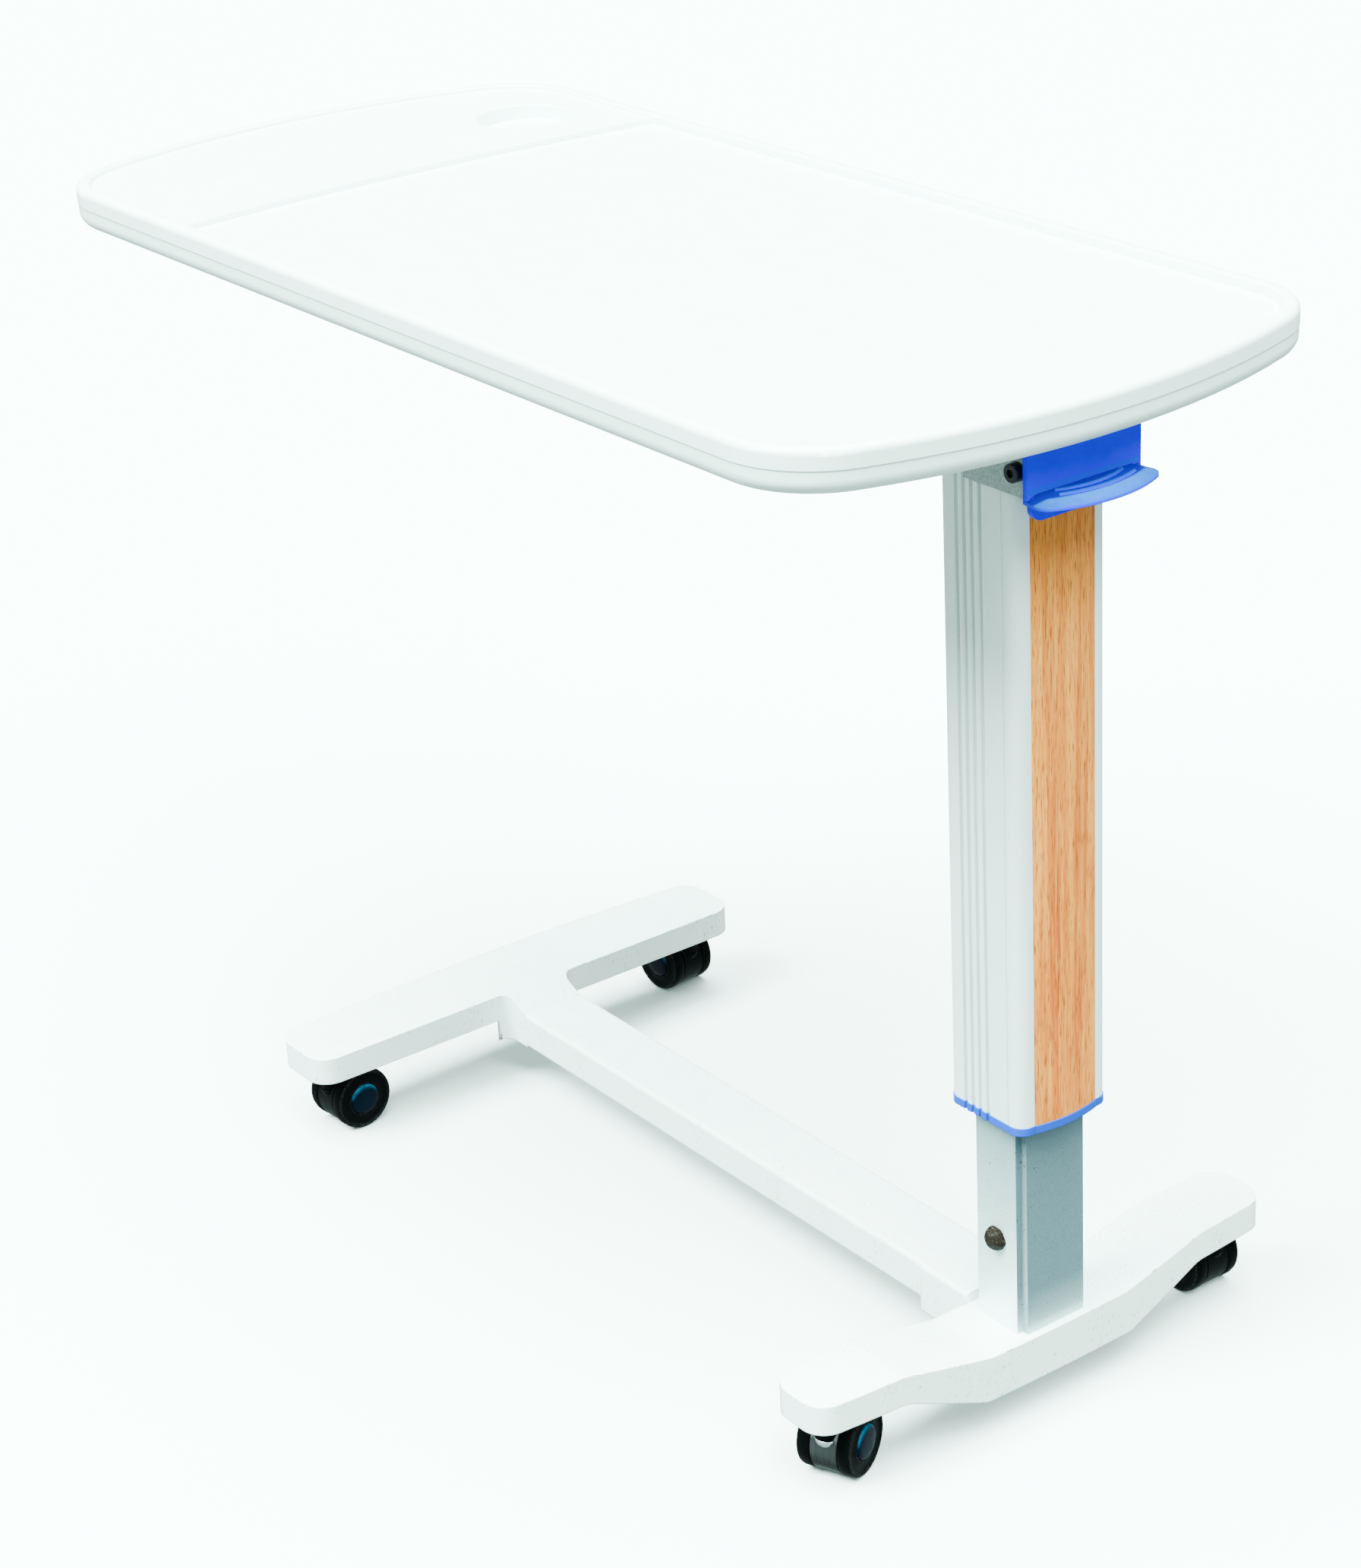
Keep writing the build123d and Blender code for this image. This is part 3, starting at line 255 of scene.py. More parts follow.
def powder_coat():
    """White powder coat: orange peel, light dirt, and chips along the edges."""
    s = Surface("powder_coat", PAINT_WHITE, 0.36)
    peel = s.noise(520, 2, 0.4)
    edge = s.edges(0.0016)
    patches = s.between(s.noise(330, 4, 0.7), 0.52, 0.57)
    spots = s.between(s.noise(90, 3, 0.6), 0.52, 0.60)
    chips = s.math("MULTIPLY", s.math("MULTIPLY", edge, patches), spots)
    specks = s.between(s.cells(70), 0.045, 0.03)
    rare = s.between(s.noise(23, 2), 0.62, 0.66)
    dirt = s.math("MULTIPLY", specks, rare)
    cloud = s.between(s.noise(9, 5), 0.4, 0.75, 0, 0.55)
    base = s.mix(cloud, PAINT_WHITE, PAINT_CLOUD)
    marks = s.math("MULTIPLY", s.between(s.noise(640, 4, 0.7, (1, 1, 0.35), 0.5), 0.58, 0.64),
                   s.between(s.noise(34, 2), 0.50, 0.56))
    base = s.mix(dirt, base, GRIME)
    base = s.mix(s.math("MULTIPLY", marks, 0.7), base, SCUFF_GREY)
    s.feed(s.mix(chips, base, CHIP_GREY), "Base Color")
    s.feed(s.between(s.noise(30, 4), 0.3, 0.7, 0.28, 0.46), "Roughness")
    s.relief(s.math("SUBTRACT", peel, s.math("MULTIPLY", chips, 1.5)), 0.00012, 0.35, 0.0012)
    s.set("Coat Weight", 0.15)
    s.set("Coat Roughness", 0.2)
    return s.material


def column_silver():
    """Outer column extrusion; each flute gets a painted shade line on one side and a painted highlight on the
    other.
    """
    s = Surface("column_silver", SILVER, 0.42, 0.25)
    x = s.axes(s.place)[0]
    lines = s.noise(900, 3, 0.6, (1, 1, 0.004))
    grain = s.noise(2600, 2)
    dull = tuple(channel * 0.88 for channel in SILVER)
    base = s.mix(s.between(grain, 0.35, 0.65), dull, SILVER)
    for flute in FLUTE_OFFSETS:
        centre = COLUMN_X + flute
        # painted shade down one side of the flute
        offset = s.math("ABSOLUTE", s.math("SUBTRACT", x, centre - 0.0002), 0)
        base = s.mix(s.between(offset, 0.0017, 0.0009, 0, 0.75), base, GROOVE_SHADE)
        # painted highlight along the flute's other lip
        lit_lip = s.math("ABSOLUTE", s.math("SUBTRACT", x, centre + 0.0021), 0)
        base = s.mix(s.between(lit_lip, 0.0008, 0.0003, 0, 0.6), base, GROOVE_HIGHLIGHT)
    smudge = s.between(s.noise(16, 5, 0.6, (1, 1, 0.5)), 0.42, 0.72, 0, 0.4)
    rare = s.between(s.noise(31, 2), 0.64, 0.68)
    specks = s.math("MULTIPLY", s.between(s.cells(60), 0.05, 0.03), rare)
    base = s.mix(smudge, base, dull)
    s.feed(s.mix(specks, base, CHIP_GREY), "Base Color")
    s.feed(s.between(lines, 0.3, 0.7, 0.36, 0.5), "Roughness")
    s.relief(s.math("ADD", lines, s.math("MULTIPLY", grain, 0.7)), 0.00005, 0.5, 0.0005)
    s.set("Specular IOR Level", 0.3)
    return s.material


def bare_aluminium():
    """Inner column: painted light makes its sides brighter than its end faces, a thin painted shade marks the step
    in each side, and it is paler again just above the foot.
    """
    s = Surface("bare_aluminium", BARE_SHADED_END, 0.36, 0.35)
    x, _, z = s.axes(s.place)
    # side faces take the painted-light colours, end faces the painted-shade ones
    lit_sides = s.between(s.math("ABSOLUTE", s.facing("True Normal")[1], 0), 0.45, 0.8)
    grain = s.noise(1500, 4, 0.65)
    lines = s.noise(900, 3, 0.6, (1, 1, 0.004))
    shaded_end_face = s.mix(s.between(grain, 0.35, 0.68), BARE_SHADED_END, BARE_SHADED_GRAIN)
    ragged = s.math("ADD", z, s.math("MULTIPLY", grain, 0.008))
    near_foot = s.between(ragged, INNER_FOOT_Z + 0.034, INNER_FOOT_Z + 0.004, 0, 0.42)
    shaded_end_face = s.mix(near_foot, shaded_end_face, BARE_END_FOOT)
    lower = s.between(z, INNER_FOOT_Z + 0.145, INNER_FOOT_Z + 0.010)
    lit_side_face = s.mix(s.between(lines, 0.35, 0.7), BARE_LIT_SIDE_DARK, BARE_LIT_SIDE_LIGHT)
    lit_side_face = s.mix(lower, lit_side_face, BARE_SIDE_FOOT)
    # painted shade in the step along each side face
    step_shade = s.between(x, INNER_STEP_X - 0.0002, INNER_STEP_X + 0.0002, 0, 0.8)
    lit_side_face = s.mix(step_shade, lit_side_face, BARE_STEP_SHADE)
    base = s.mix(lit_sides, shaded_end_face, lit_side_face)
    fine = s.between(s.noise(620, 3, 0.6), 0.62, 0.67)
    specks = s.math("MULTIPLY", fine, s.between(s.noise(60, 2), 0.50, 0.56))
    s.feed(s.mix(specks, base, CHIP_GREY), "Base Color")
    s.feed(s.between(lines, 0.3, 0.7, 0.3, 0.46), "Roughness")
    s.relief(s.math("ADD", lines, s.math("MULTIPLY", grain, 0.7)), 0.00005, 0.5, 0.0005)
    s.set("Specular IOR Level", 0.3)
    return s.material


def beech():
    """Beech strip: soft vertical figure with short dark ray flecks."""
    s = Surface("beech", BEECH_LIGHT, 0.5)
    figure = s.noise(150, 5, 0.62, (1, 1, 0.035), 0.3)
    fine = s.noise(620, 4, 0.65, (1, 1, 0.03))
    flecks = s.between(s.noise(1350, 2, 0.5, (1, 1, 0.06)), 0.55, 0.67)
    base = s.mix(s.between(figure, 0.36, 0.66), BEECH_LIGHT, BEECH_DARK)
    base = s.mix(s.between(fine, 0.5, 0.72, 0, 0.65), base, BEECH_PALE)
    s.feed(s.mix(s.math("MULTIPLY", flecks, 0.8), base, BEECH_FLECK), "Base Color")
    s.feed(s.between(fine, 0.3, 0.7, 0.42, 0.58), "Roughness")
    s.relief(s.math("SUBTRACT", fine, flecks), 0.00006, 0.6, 0.0004)
    s.set("Specular IOR Level", 0.12)
    return s.material


def glossy_plastic(name, colour, light, roughness):
    """Saturated moulded plastic with faint flow marks and fine scratches."""
    s = Surface(name, colour, roughness)
    flow = s.between(s.noise(38, 3, 0.5, warp=0.8), 0.3, 0.75)
    s.feed(s.mix(flow, colour, light), "Base Color")
    s.feed(s.between(s.noise(200, 4), 0.3, 0.7, roughness - 0.05, roughness + 0.12), "Roughness")
    s.relief(s.noise(1300, 2), 0.00003, 0.5, 0.0005)
    s.set("Specular IOR Level", 0.14)
    return s.material


def lever_plastic():
    """Deep blue lever; a painted highlight lies on the sloping rim of the paddle and, fainter, on the ribs, and
    faces turned upward are painted darker as shade.
    """
    s = Surface("lever_blue", BLUE, 0.38)
    x, y, z = s.axes(s.place)
    bowed = s.math("ADD", x, s.math("DIVIDE", s.math("MULTIPLY", y, y), 2 * LEVER_BOW_RADIUS))
    rim = s.math("MULTIPLY", s.between(bowed, LEVER_FRONT_X - 0.0095, LEVER_FRONT_X - 0.0078),
                 s.between(bowed, LEVER_FRONT_X + 0.0005, LEVER_FRONT_X - 0.0070, 0.45, 1))
    above = s.math("MULTIPLY", s.between(z, LEVER_DECK_Z - 0.0055, LEVER_DECK_Z - 0.003),
                   s.between(z, LEVER_DECK_Z + 0.004, LEVER_DECK_Z + 0.002))
    ribs = s.between(z, LEVER_DECK_Z + 0.0003, LEVER_DECK_Z + 0.0010, 0, 0.45)
    # painted highlight: the sloping rim, and fainter the tops of the ribs
    lit = s.math("MAXIMUM", s.math("MULTIPLY", rim, above), s.math("MULTIPLY", ribs, above))
    # uneven strength of the painted highlight
    highlight_patches = s.between(s.noise(230, 4, 0.6), 0.25, 0.75, 0.7, 1.0)
    flow = s.between(s.noise(60, 3, 0.5), 0.35, 0.7, 0, 0.35)
    # painted shade on faces turned upward
    upward = s.between(s.facing("Normal")[2], 0.35, 0.75)
    base = s.mix(flow, BLUE, BLUE_FLOW)
    base = s.mix(upward, base, BLUE_DECK_SHADE)
    base = s.mix(s.math("MULTIPLY", lit, highlight_patches), base, BLUE_RIM_HIGHLIGHT)
    scratch = s.between(s.noise(520, 3, 0.7, (0.2, 1, 1), 0.8), 0.72, 0.76, 0, 0.4)
    s.feed(s.mix(scratch, base, BLUE_SCRATCH), "Base Color")
    s.feed(s.between(s.noise(260, 4), 0.3, 0.7, 0.30, 0.46), "Roughness")
    s.relief(s.noise(1300, 2), 0.00003, 0.4, 0.0007)
    s.set("Specular IOR Level", 0.08)
    return s.material


def speckled_grey():
    """Grey textured powder coat of the bracket."""
    s = Surface("speckled_grey", BRACKET_GREY, 0.5)
    speck = s.between(s.noise(1100, 3, 0.6), 0.42, 0.62)
    s.feed(s.mix(speck, BRACKET_GREY, BRACKET_SPECK), "Base Color")
    s.feed(s.between(s.noise(300, 3), 0.3, 0.7, 0.42, 0.6), "Roughness")
    s.relief(s.noise(900, 3), 0.00010, 0.5, 0.0005)
    return s.material


def machined_steel(name, colour, roughness):
    """Turned or pressed steel with fine lines and a little staining."""
    s = Surface(name, colour, roughness, 1.0)
    lines = s.noise(1500, 3, 0.6, (1, 1, 0.08))
    stain = s.between(s.noise(140, 5, 0.7), 0.52, 0.75, 0, 0.6)
    dark = tuple(channel * 0.45 for channel in colour)
    s.feed(s.mix(stain, colour, dark), "Base Color")
    s.feed(s.between(lines, 0.3, 0.7, roughness - 0.08, roughness + 0.14), "Roughness")
    s.relief(lines, 0.00004, 0.5, 0.0004)
    return s.material


def black_oxide():
    """Blackened steel, slightly glossy, rubbed lighter on its edges."""
    s = Surface("black_oxide", OXIDE_BLACK, 0.34, 0.6)
    rub = s.math("MULTIPLY", s.edges(0.0006), s.between(s.noise(700, 3), 0.35, 0.65))
    s.feed(s.mix(rub, OXIDE_BLACK, OXIDE_RUBBED), "Base Color")
    s.feed(s.between(s.noise(400, 4), 0.3, 0.7, 0.24, 0.46), "Roughness")
    s.relief(s.noise(900, 3), 0.00004, 0.5, 0.0004)
    return s.material


def nylon(name, colour, lift=0.01, shine=0.3):
    """Plain moulded nylon with a fine matt grain."""
    s = Surface(name, colour, 0.55)
    pale = tuple(min(1.0, channel * 1.5 + lift) for channel in colour)
    s.feed(s.mix(s.between(s.noise(90, 4), 0.35, 0.7), colour, pale), "Base Color")
    s.feed(s.between(s.noise(250, 3), 0.3, 0.7, 0.45, 0.65), "Roughness")
    s.relief(s.noise(1200, 2), 0.00005, 0.5, 0.0005)
    s.set("Specular IOR Level", shine)
    return s.material


def cap_plastic():
    """Dark teal dome whose rim, where it faces up, carries a painted sheen."""
    s = Surface("cap_teal", CAP_TEAL, 0.26)
    # painted sheen on the rim where it faces up
    rim = s.between(s.facing("Normal")[2], 0.10, 0.62)
    streaks = s.between(s.noise(260, 4, 0.6), 0.3, 0.7, 0.35, 1.0)
    flow = s.between(s.noise(60, 3, 0.5), 0.35, 0.75, 0, 0.8)
    base = s.mix(flow, CAP_TEAL, CAP_FLOW)
    s.feed(s.mix(s.math("MULTIPLY", rim, streaks), base, CAP_SHEEN), "Base Color")
    s.feed(s.between(s.noise(200, 4), 0.3, 0.7, 0.2, 0.4), "Roughness")
    s.relief(s.noise(1300, 2), 0.00003, 0.5, 0.0004)
    s.set("Specular IOR Level", 0.06)
    return s.material


def soft_tread():
    """Black caster tread: slightly dusty, with pale scuffs along its edges."""
    s = Surface("soft_tread", TYRE_BLACK, 0.42)
    dust = s.between(s.noise(150, 5, 0.65), 0.5, 0.75, 0, 0.5)
    rubbed = s.math("MULTIPLY", s.edges(0.0016), s.between(s.noise(1500, 3, 0.7), 0.50, 0.60))
    base = s.mix(dust, TYRE_BLACK, TYRE_DUST)
    s.feed(s.mix(rubbed, base, TYRE_SCUFF), "Base Color")
    s.feed(s.between(s.noise(120, 4), 0.3, 0.7, 0.32, 0.55), "Roughness")
    s.relief(s.noise(1400, 3), 0.00005, 0.5, 0.0005)
    s.set("Specular IOR Level", 0.035)
    return s.material


def hood_metal(name, colour, roughness):
    """Curved caster cover: plated, brushed across, duller towards the floor and darkened there by painted shade.
    """
    s = Surface(name, colour, roughness, 0.85)
    brush = s.noise(700, 4, 0.6, (1, 1, 0.05))
    patch = s.between(s.noise(110, 5, 0.7), 0.45, 0.72, 0, 0.5)
    dark = tuple(channel * 0.35 for channel in colour)
    # painted shade, deepest near the floor
    shade = tuple(channel * 0.11 for channel in colour)
    floor_shade = tuple(channel * 0.012 for channel in colour)
    height = s.math("ADD", s.axes(s.place)[2], s.math("MULTIPLY", brush, 0.010))
    low = s.between(height, 0.037, 0.019)
    base = s.mix(patch, colour, dark)
    base = s.mix(s.between(height, 0.048, 0.036), base, shade)
    s.feed(s.mix(low, base, floor_shade), "Base Color")
    s.feed(s.between(low, 0, 1, 0.7, 0), "Metallic")
    s.set("Specular IOR Level", 0.06)
    s.feed(s.between(brush, 0.3, 0.7, roughness - 0.08, roughness + 0.15), "Roughness")
    s.relief(brush, 0.00005, 0.5, 0.0004)
    return s.material


def rusty_steel():
    """Bolt head with worn plating, brown rust and painted glints."""
    s = Surface("rusty_steel", RUST, 0.6)
    bloom = s.between(s.noise(600, 5, 0.7), 0.40, 0.62)
    pits = s.between(s.noise(1500, 3, 0.6), 0.5, 0.66)
    base = s.mix(bloom, RUST_PLATING, RUST)
    base = s.mix(pits, base, RUST_PIT)
    # painted glints
    glints = s.between(s.noise(820, 3, 0.6), 0.60, 0.70)
    s.feed(s.mix(glints, base, RUST_GLINT), "Base Color")
    s.feed(s.between(bloom, 0, 1, 0.42, 0.8), "Roughness")
    s.relief(s.noise(1000, 5, 0.7), 0.00025, 0.7, 0.0004)
    s.set("Specular IOR Level", 0.05)
    return s.material


MATERIALS = {
    "tray_plastic": moulded_plastic("tray_plastic", TRAY_WHITE, TRAY_CLOUD, 0.36),
    "shell_plastic": moulded_plastic("shell_plastic", SHELL_WHITE, SHELL_CLOUD, 0.40),
    "base_paint": powder_coat(),
    "column_aluminium": column_silver(),
    "bare_aluminium": bare_aluminium(),
    "beech_wood": beech(),
    "blue_plastic": lever_plastic(),
    "trim_blue": glossy_plastic("trim_blue", TRIM_BLUE, TRIM_FLOW, 0.34),
    "bracket_paint": speckled_grey(),
    "steel_zinc": machined_steel("zinc_steel", ZINC, 0.36),
    "steel_plain": machined_steel("plain_steel", PLAIN_STEEL, 0.40),
    "black_steel": black_oxide(),
    "nylon_black": nylon("black_nylon", NYLON_BLACK),
    "nylon_white": nylon("white_nylon", NYLON_WHITE),
    "bolt_rust": rusty_steel(),
    "wheel_rubber": soft_tread(),
    "hood_metal": hood_metal("hood_metal", DULL_HOOD, 0.40),
    "bright_hood": hood_metal("bright_hood", BRIGHT_HOOD, 0.26),
    "collar_metal": machined_steel("collar_metal", COLLAR, 0.3),
    "caster_black": nylon("caster_black", CASTER_BLACK, 0.0015, 0.04),
    "cap_blue": cap_plastic(),
}

SLOT_OF = {part["node"]: part["material_slot"] for part in frame["record"]["subparts"]}
LOOK_OF = {"column_end_ring": "trim_blue", "inner_column": "bare_aluminium"}


def dress_nodes():
    """One material on every CAD node: its record slot's, or the look named for that node."""
    for name, obj in NODES.items():
        look = MATERIALS[LOOK_OF.get(name, SLOT_OF[name])]
        obj.data.materials.clear()
        obj.data.materials.append(look)


dress_nodes()


# ---- shape helpers --------------------------------------------------------------------------

def add_piece(name, mesh, look, body, place, bevel=0.0):
    """A smooth-shaded object that rides on a CAD body."""
    for face in mesh.polygons:
        face.use_smooth = True
    obj = bpy.data.objects.new(name, mesh)
    bpy.context.scene.collection.objects.link(obj)
    mesh.transform(place)
    mesh.materials.append(MATERIALS[look])
    if bevel:
        rounding = obj.modifiers.new("bevel", "BEVEL")
        rounding.width = bevel
        rounding.segments = 3
        rounding.limit_method = "ANGLE"
        rounding.harden_normals = True
    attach(obj, body)
    return obj


def lathe(name, profile, steps=96):
    """Closed mesh turned about local Z from (radius, height) pairs, in millimetres."""
    mesh = bpy.data.meshes.new(name)
    shape = bmesh.new()
    rings = []
    for radius, height in profile:
        if radius == 0:
            rings.append([shape.verts.new((0, 0, height * MM))])
            continue
        ring = []
        for step in range(steps):
            angle = 2 * math.pi * step / steps
            x, y = radius * math.cos(angle), radius * math.sin(angle)
            ring.append(shape.verts.new((x * MM, y * MM, height * MM)))
        rings.append(ring)
    closed = profile[0][0] > 0
    pairs = list(zip(rings, rings[1:])) + ([(rings[-1], rings[0])] if closed else [])
    for low, high in pairs:
        for step in range(steps):
            following = (step + 1) % steps
            corners = [low[step % len(low)], low[following % len(low)],
                       high[following % len(high)], high[step % len(high)]]
            corners = list(dict.fromkeys(corners))
            if len(corners) > 2:
                shape.faces.new(corners)
    bmesh.ops.recalc_face_normals(shape, faces=shape.faces)
    shape.to_mesh(mesh)
    shape.free()
    return mesh


def plate(name, outline, low, high):
    """Closed mesh: outline of (x, z) points in millimetres, swept along Y from low to high."""
    mesh = bpy.data.meshes.new(name)
    shape = bmesh.new()
    sides = [[shape.verts.new((x * MM, y * MM, z * MM)) for x, z in outline] for y in (low, high)]
    shape.faces.new(sides[0])
    shape.faces.new(reversed(sides[1]))
    count = len(outline)
    for i in range(count):
        j = (i + 1) % count
        shape.faces.new((sides[0][i], sides[1][i], sides[1][j], sides[0][j]))
    bmesh.ops.recalc_face_normals(shape, faces=shape.faces)
    shape.to_mesh(mesh)
    shape.free()
    return mesh


def arc(centre, radius, start, end, steps):
    """Points on an arc, angles in degrees."""
    points = []
    for step in range(steps + 1):
        angle = math.radians(start + (end - start) * step / steps)
        points.append((centre[0] + radius * math.cos(angle), centre[1] + radius * math.sin(angle)))
    return points


# ---- casters ---------------------------------------------------------------------------------

WHEEL_RADIUS = 23.0
TRAIL = 14.0
COVER_RADIUS = 22.4
COVER_THICKNESS = 1.5
COVER_TOP_ANGLE, COVER_END_ANGLE = 74, 266
COVER_STEPS = 64
COVER_HALF_WIDTH = 9.0
COVER_EDGE = 0.4 * MM
TYRE_STEPS = 128
WHEEL_PROFILE = [
    (3.2, 9.3), (19.6, 9.3), (21.7, 9.5), (22.6, 10.1), (23.0, 11.2), (23.0, 15.4), (22.75, 16.3),
    (22.4, 17.6), (21.8, 18.3), (21.1, 18.4), (20.5, 18.1), (20.1, 17.5), (19.4, 17.3),
    (15.0, 17.5), (13.4, 18.0), (12.4, 18.2), (11.8, 17.9), (11.6, 17.3), (3.2, 17.3),
]
CAP_PROFILE = [
    (0, 17.2), (11.4, 17.2), (11.5, 18.0), (11.2, 18.7), (10.5, 19.3), (9.1, 19.7), (6.8, 19.95),
    (3.6, 20.08), (0, 20.1),
]
TOWER_PROFILE = [
    (0, 24.4), (3.0, 24.7), (5.6, 25.9), (7.5, 27.9), (8.5, 30.6), (8.8, 33.5), (8.8, 45.4),
    (8.5, 46.8), (7.6, 48.0), (6.2, 48.7), (4.4, 48.9), (4.2, 46.0), (0, 46.0),
]
COLLAR_PROFILE = [
    (5.2, 24.4), (7.2, 26.0), (8.7, 28.7), (9.2, 32.2), (8.9, 32.2), (8.4, 29.2), (6.9, 26.8),
    (5.0, 25.2),
]
CORE_PROFILE = [
    (0, -8.7), (18.6, -8.7), (19.6, -8.2), (20.1, -7.2), (20.1, 7.2), (19.6, 8.2), (18.6, 8.7),
    (0, 8.7),
]


def caster_place(name):
    """Frame of a caster: Z up through its pivot, X along its trail."""
    pivot = Vector(JOINTS[f"{name}_turn"]["pos_m"])
    axle = Vector(JOINTS[f"{name}_roll_a"]["axis"]).normalized()
    trail = axle.cross(Vector((0, 0, 1)))
    turn = Matrix((trail, axle, Vector((0, 0, 1)))).transposed().to_4x4()
    return Matrix.Translation((pivot.x, pivot.y, 0)) @ turn


def cover_outline():
    """Side view of the curved metal cover: from low on the stem side, over the top."""
    centre = (TRAIL, WHEEL_RADIUS)
    outer = arc(centre, COVER_RADIUS, COVER_TOP_ANGLE, COVER_END_ANGLE, COVER_STEPS)
    inner = arc(centre, COVER_RADIUS - COVER_THICKNESS, COVER_END_ANGLE, COVER_TOP_ANGLE, COVER_STEPS)
    return outer + inner


def add_caster(name, cover_look):
    """Cover, core, tower and collar on the swivel body; a tyre and a cap on each roller."""
    place = caster_place(name)
    swivel = f"{name}_swivel"
    shape = plate("cover", cover_outline(), -COVER_HALF_WIDTH, COVER_HALF_WIDTH)
    cover = add_piece(f"{name}_cover", shape, cover_look, swivel, place, COVER_EDGE)
    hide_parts(f"{name}_hood")
    at_axle = Matrix.Translation((TRAIL * MM, 0, WHEEL_RADIUS * MM))
    along_axle = place @ at_axle @ Matrix.Rotation(-math.pi / 2, 4, "X")
    add_piece(f"{name}_core", lathe("core", CORE_PROFILE), "caster_black", swivel, along_axle)
    add_piece(f"{name}_tower", lathe("tower", TOWER_PROFILE), "caster_black", swivel, place)
    collar_look = "collar_metal" if cover_look == "bright_hood" else "hood_metal"
    add_piece(f"{name}_collar", lathe("collar", COLLAR_PROFILE), collar_look, swivel, place)
    for label, turn in (("a", Matrix.Identity(4)), ("b", Matrix.Rotation(math.pi, 4, "X"))):
        roller = f"{name}_roller_{label}"
        outward = along_axle @ turn
        tyre = lathe("tyre", WHEEL_PROFILE, TYRE_STEPS)
        wheel = add_piece(f"{name}_tyre_{label}", tyre, "wheel_rubber", roller, outward)
        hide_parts(f"{name}_wheel_{label}")
        dome = lathe("dome", CAP_PROFILE)
        cap = add_piece(f"{name}_dome_{label}", dome, "cap_blue", roller, outward)
        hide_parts(f"{name}_cap_{label}")


for caster in ("near_left", "near_right", "far_left", "far_right"):
    add_caster(caster, "bright_hood" if caster == "near_left" else "hood_metal")


# ---- bolts -----------------------------------------------------------------------------------

BOLT_RADIUS = 7.8
BOLT_HEIGHT = 7.4
BOLT_SINK = -0.2
BOLT_LUMPS = 9
BOLT_FACETS = 6
BOLT_SEED = 3


def bolt_head(name, seed):
    """Lumpy, corroded dome head; local Z points out of the column."""
    rng = random.Random(seed)
    mesh = bpy.data.meshes.new(name)
    shape = bmesh.new()
    bmesh.ops.create_icosphere(shape, subdivisions=5, radius=1.0)
    lumps = []
    for _ in range(BOLT_LUMPS):
        direction = Vector((rng.uniform(-1, 1), rng.uniform(-1, 1), rng.uniform(-0.2, 1)))
        lumps.append((direction.normalized(), rng.uniform(-0.10, 0.09), rng.uniform(3, 9)))
    for vert in shape.verts:
        unit = vert.co.normalized()
        around = math.cos(BOLT_FACETS * math.atan2(unit.y, unit.x))
        swell = 1.0 + 0.035 * around * (1 - unit.z * unit.z)
        for direction, height, sharpness in lumps:
            swell += height * math.exp(-sharpness * (1 - unit.dot(direction)))
        reach = BOLT_RADIUS * swell
        rise = max(BOLT_SINK, unit.z * BOLT_HEIGHT * swell)
        vert.co = Vector((unit.x * reach, unit.y * reach, rise)) * MM
    shape.to_mesh(mesh)
    shape.free()
    return mesh


def add_bolts():
    """A head on each side of the inner column, centred on the CAD bolts."""
    low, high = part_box("column_bolts")
    centre_x = (low[0] + high[0]) / 2
    centre_z = (low[2] + high[2]) / 2
    column_low, column_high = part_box("inner_column")
    for label, face_y, quarter in (("left", column_low[1], 1), ("right", column_high[1], -1)):
        turn = Matrix.Rotation(quarter * math.pi / 2, 4, "X")
        place = Matrix.Translation((centre_x, face_y, centre_z)) @ turn
        shape = bolt_head("bolt_head", BOLT_SEED + quarter)
        head = add_piece(f"bolt_head_{label}", shape, "bolt_rust", "base", place)
        if label == "left":
            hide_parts("column_bolts")


add_bolts()


# ---- stage, light and camera ----------------------------------------------------------------

FLOOR_HALF_SIZE = 12.0
WORLD_STRENGTH = 1.05
CAMERA_AZIMUTH, CAMERA_ELEVATION, CAMERA_ROLL = 54.487, 24.510, -3.118
CAMERA_PLACE = (1.7564, -1.2415, 1.2742)
CAMERA_LENS, CAMERA_SENSOR, CAMERA_CLIP = 80.55, 36.0, 50.0


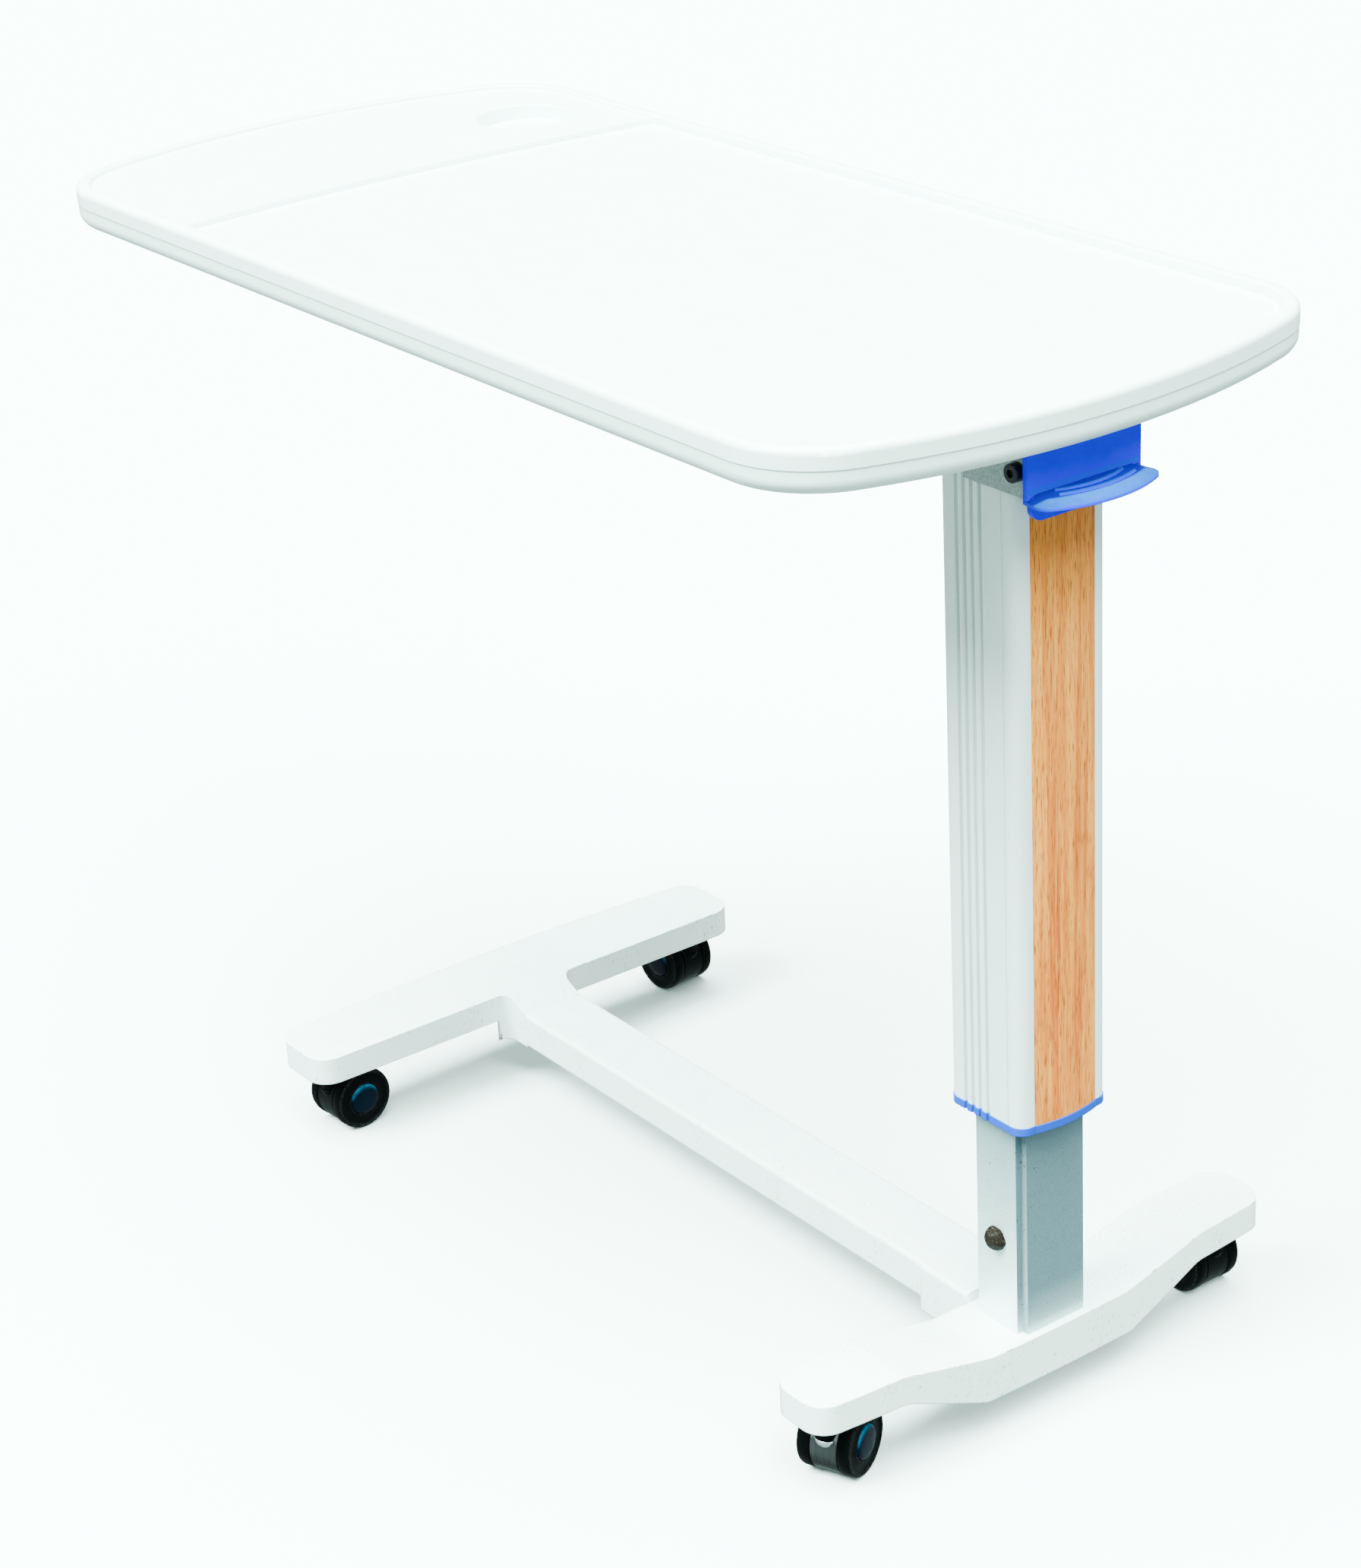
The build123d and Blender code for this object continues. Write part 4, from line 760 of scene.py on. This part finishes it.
def add_floor():
    """White floor that shows shadows but adds no bounced light or reflections."""
    mesh = bpy.data.meshes.new("floor")
    size = FLOOR_HALF_SIZE
    corners = [(-size, -size, 0), (size, -size, 0), (size, size, 0), (-size, size, 0)]
    mesh.from_pydata(corners, [], [(0, 1, 2, 3)])
    floor = bpy.data.objects.new("floor", mesh)
    bpy.context.scene.collection.objects.link(floor)
    s = Surface("floor_white", FLOOR_WHITE, 0.9)
    mesh.materials.append(s.material)
    floor.visible_diffuse = False
    floor.visible_glossy = False


def add_sun(name, towards, strength, softness):
    """Soft directional light that comes from the direction towards."""
    light = bpy.data.lights.new(name, "SUN")
    light.energy = strength
    light.angle = math.radians(softness)
    light.color = STUDIO_TINT
    lamp = bpy.data.objects.new(name, light)
    lamp.rotation_euler = Vector(towards).to_track_quat("Z", "Y").to_euler()
    bpy.context.scene.collection.objects.link(lamp)


def add_world():
    """Even studio light from all round."""
    world = bpy.data.worlds.new("studio")
    world.use_nodes = True
    background = world.node_tree.nodes["Background"]
    background.inputs["Color"].default_value = (*STUDIO_TINT, 1)
    background.inputs["Strength"].default_value = WORLD_STRENGTH
    bpy.context.scene.world = world


def add_camera():
    """Fixed camera at the near, column end of the table, looking down on it."""
    angles = (CAMERA_AZIMUTH, CAMERA_ELEVATION, CAMERA_ROLL)
    azimuth, elevation, roll = (math.radians(angle) for angle in angles)
    back = Vector((math.sin(azimuth) * math.cos(elevation),
                   -math.cos(azimuth) * math.cos(elevation), math.sin(elevation)))
    level = Vector((math.cos(azimuth), math.sin(azimuth), 0))
    rise = back.cross(level)
    right = math.cos(roll) * level + math.sin(roll) * rise
    up = math.cos(roll) * rise - math.sin(roll) * level
    data = bpy.data.cameras.new("camera")
    data.lens = CAMERA_LENS
    data.sensor_width = CAMERA_SENSOR
    data.clip_end = CAMERA_CLIP
    camera = bpy.data.objects.new("camera", data)
    turn = Matrix((right, up, back)).transposed().to_4x4()
    camera.matrix_world = Matrix.Translation(CAMERA_PLACE) @ turn
    bpy.context.scene.collection.objects.link(camera)
    bpy.context.scene.camera = camera


add_floor()
add_world()
add_sun("overhead", (0.05, -0.10, 1), 34.0, 60)
add_sun("key", (-0.20, -1, 1.25), 15.0, 24)
add_sun("end_light", (1, -0.2, 1.3), 5.4, 25)
add_camera()
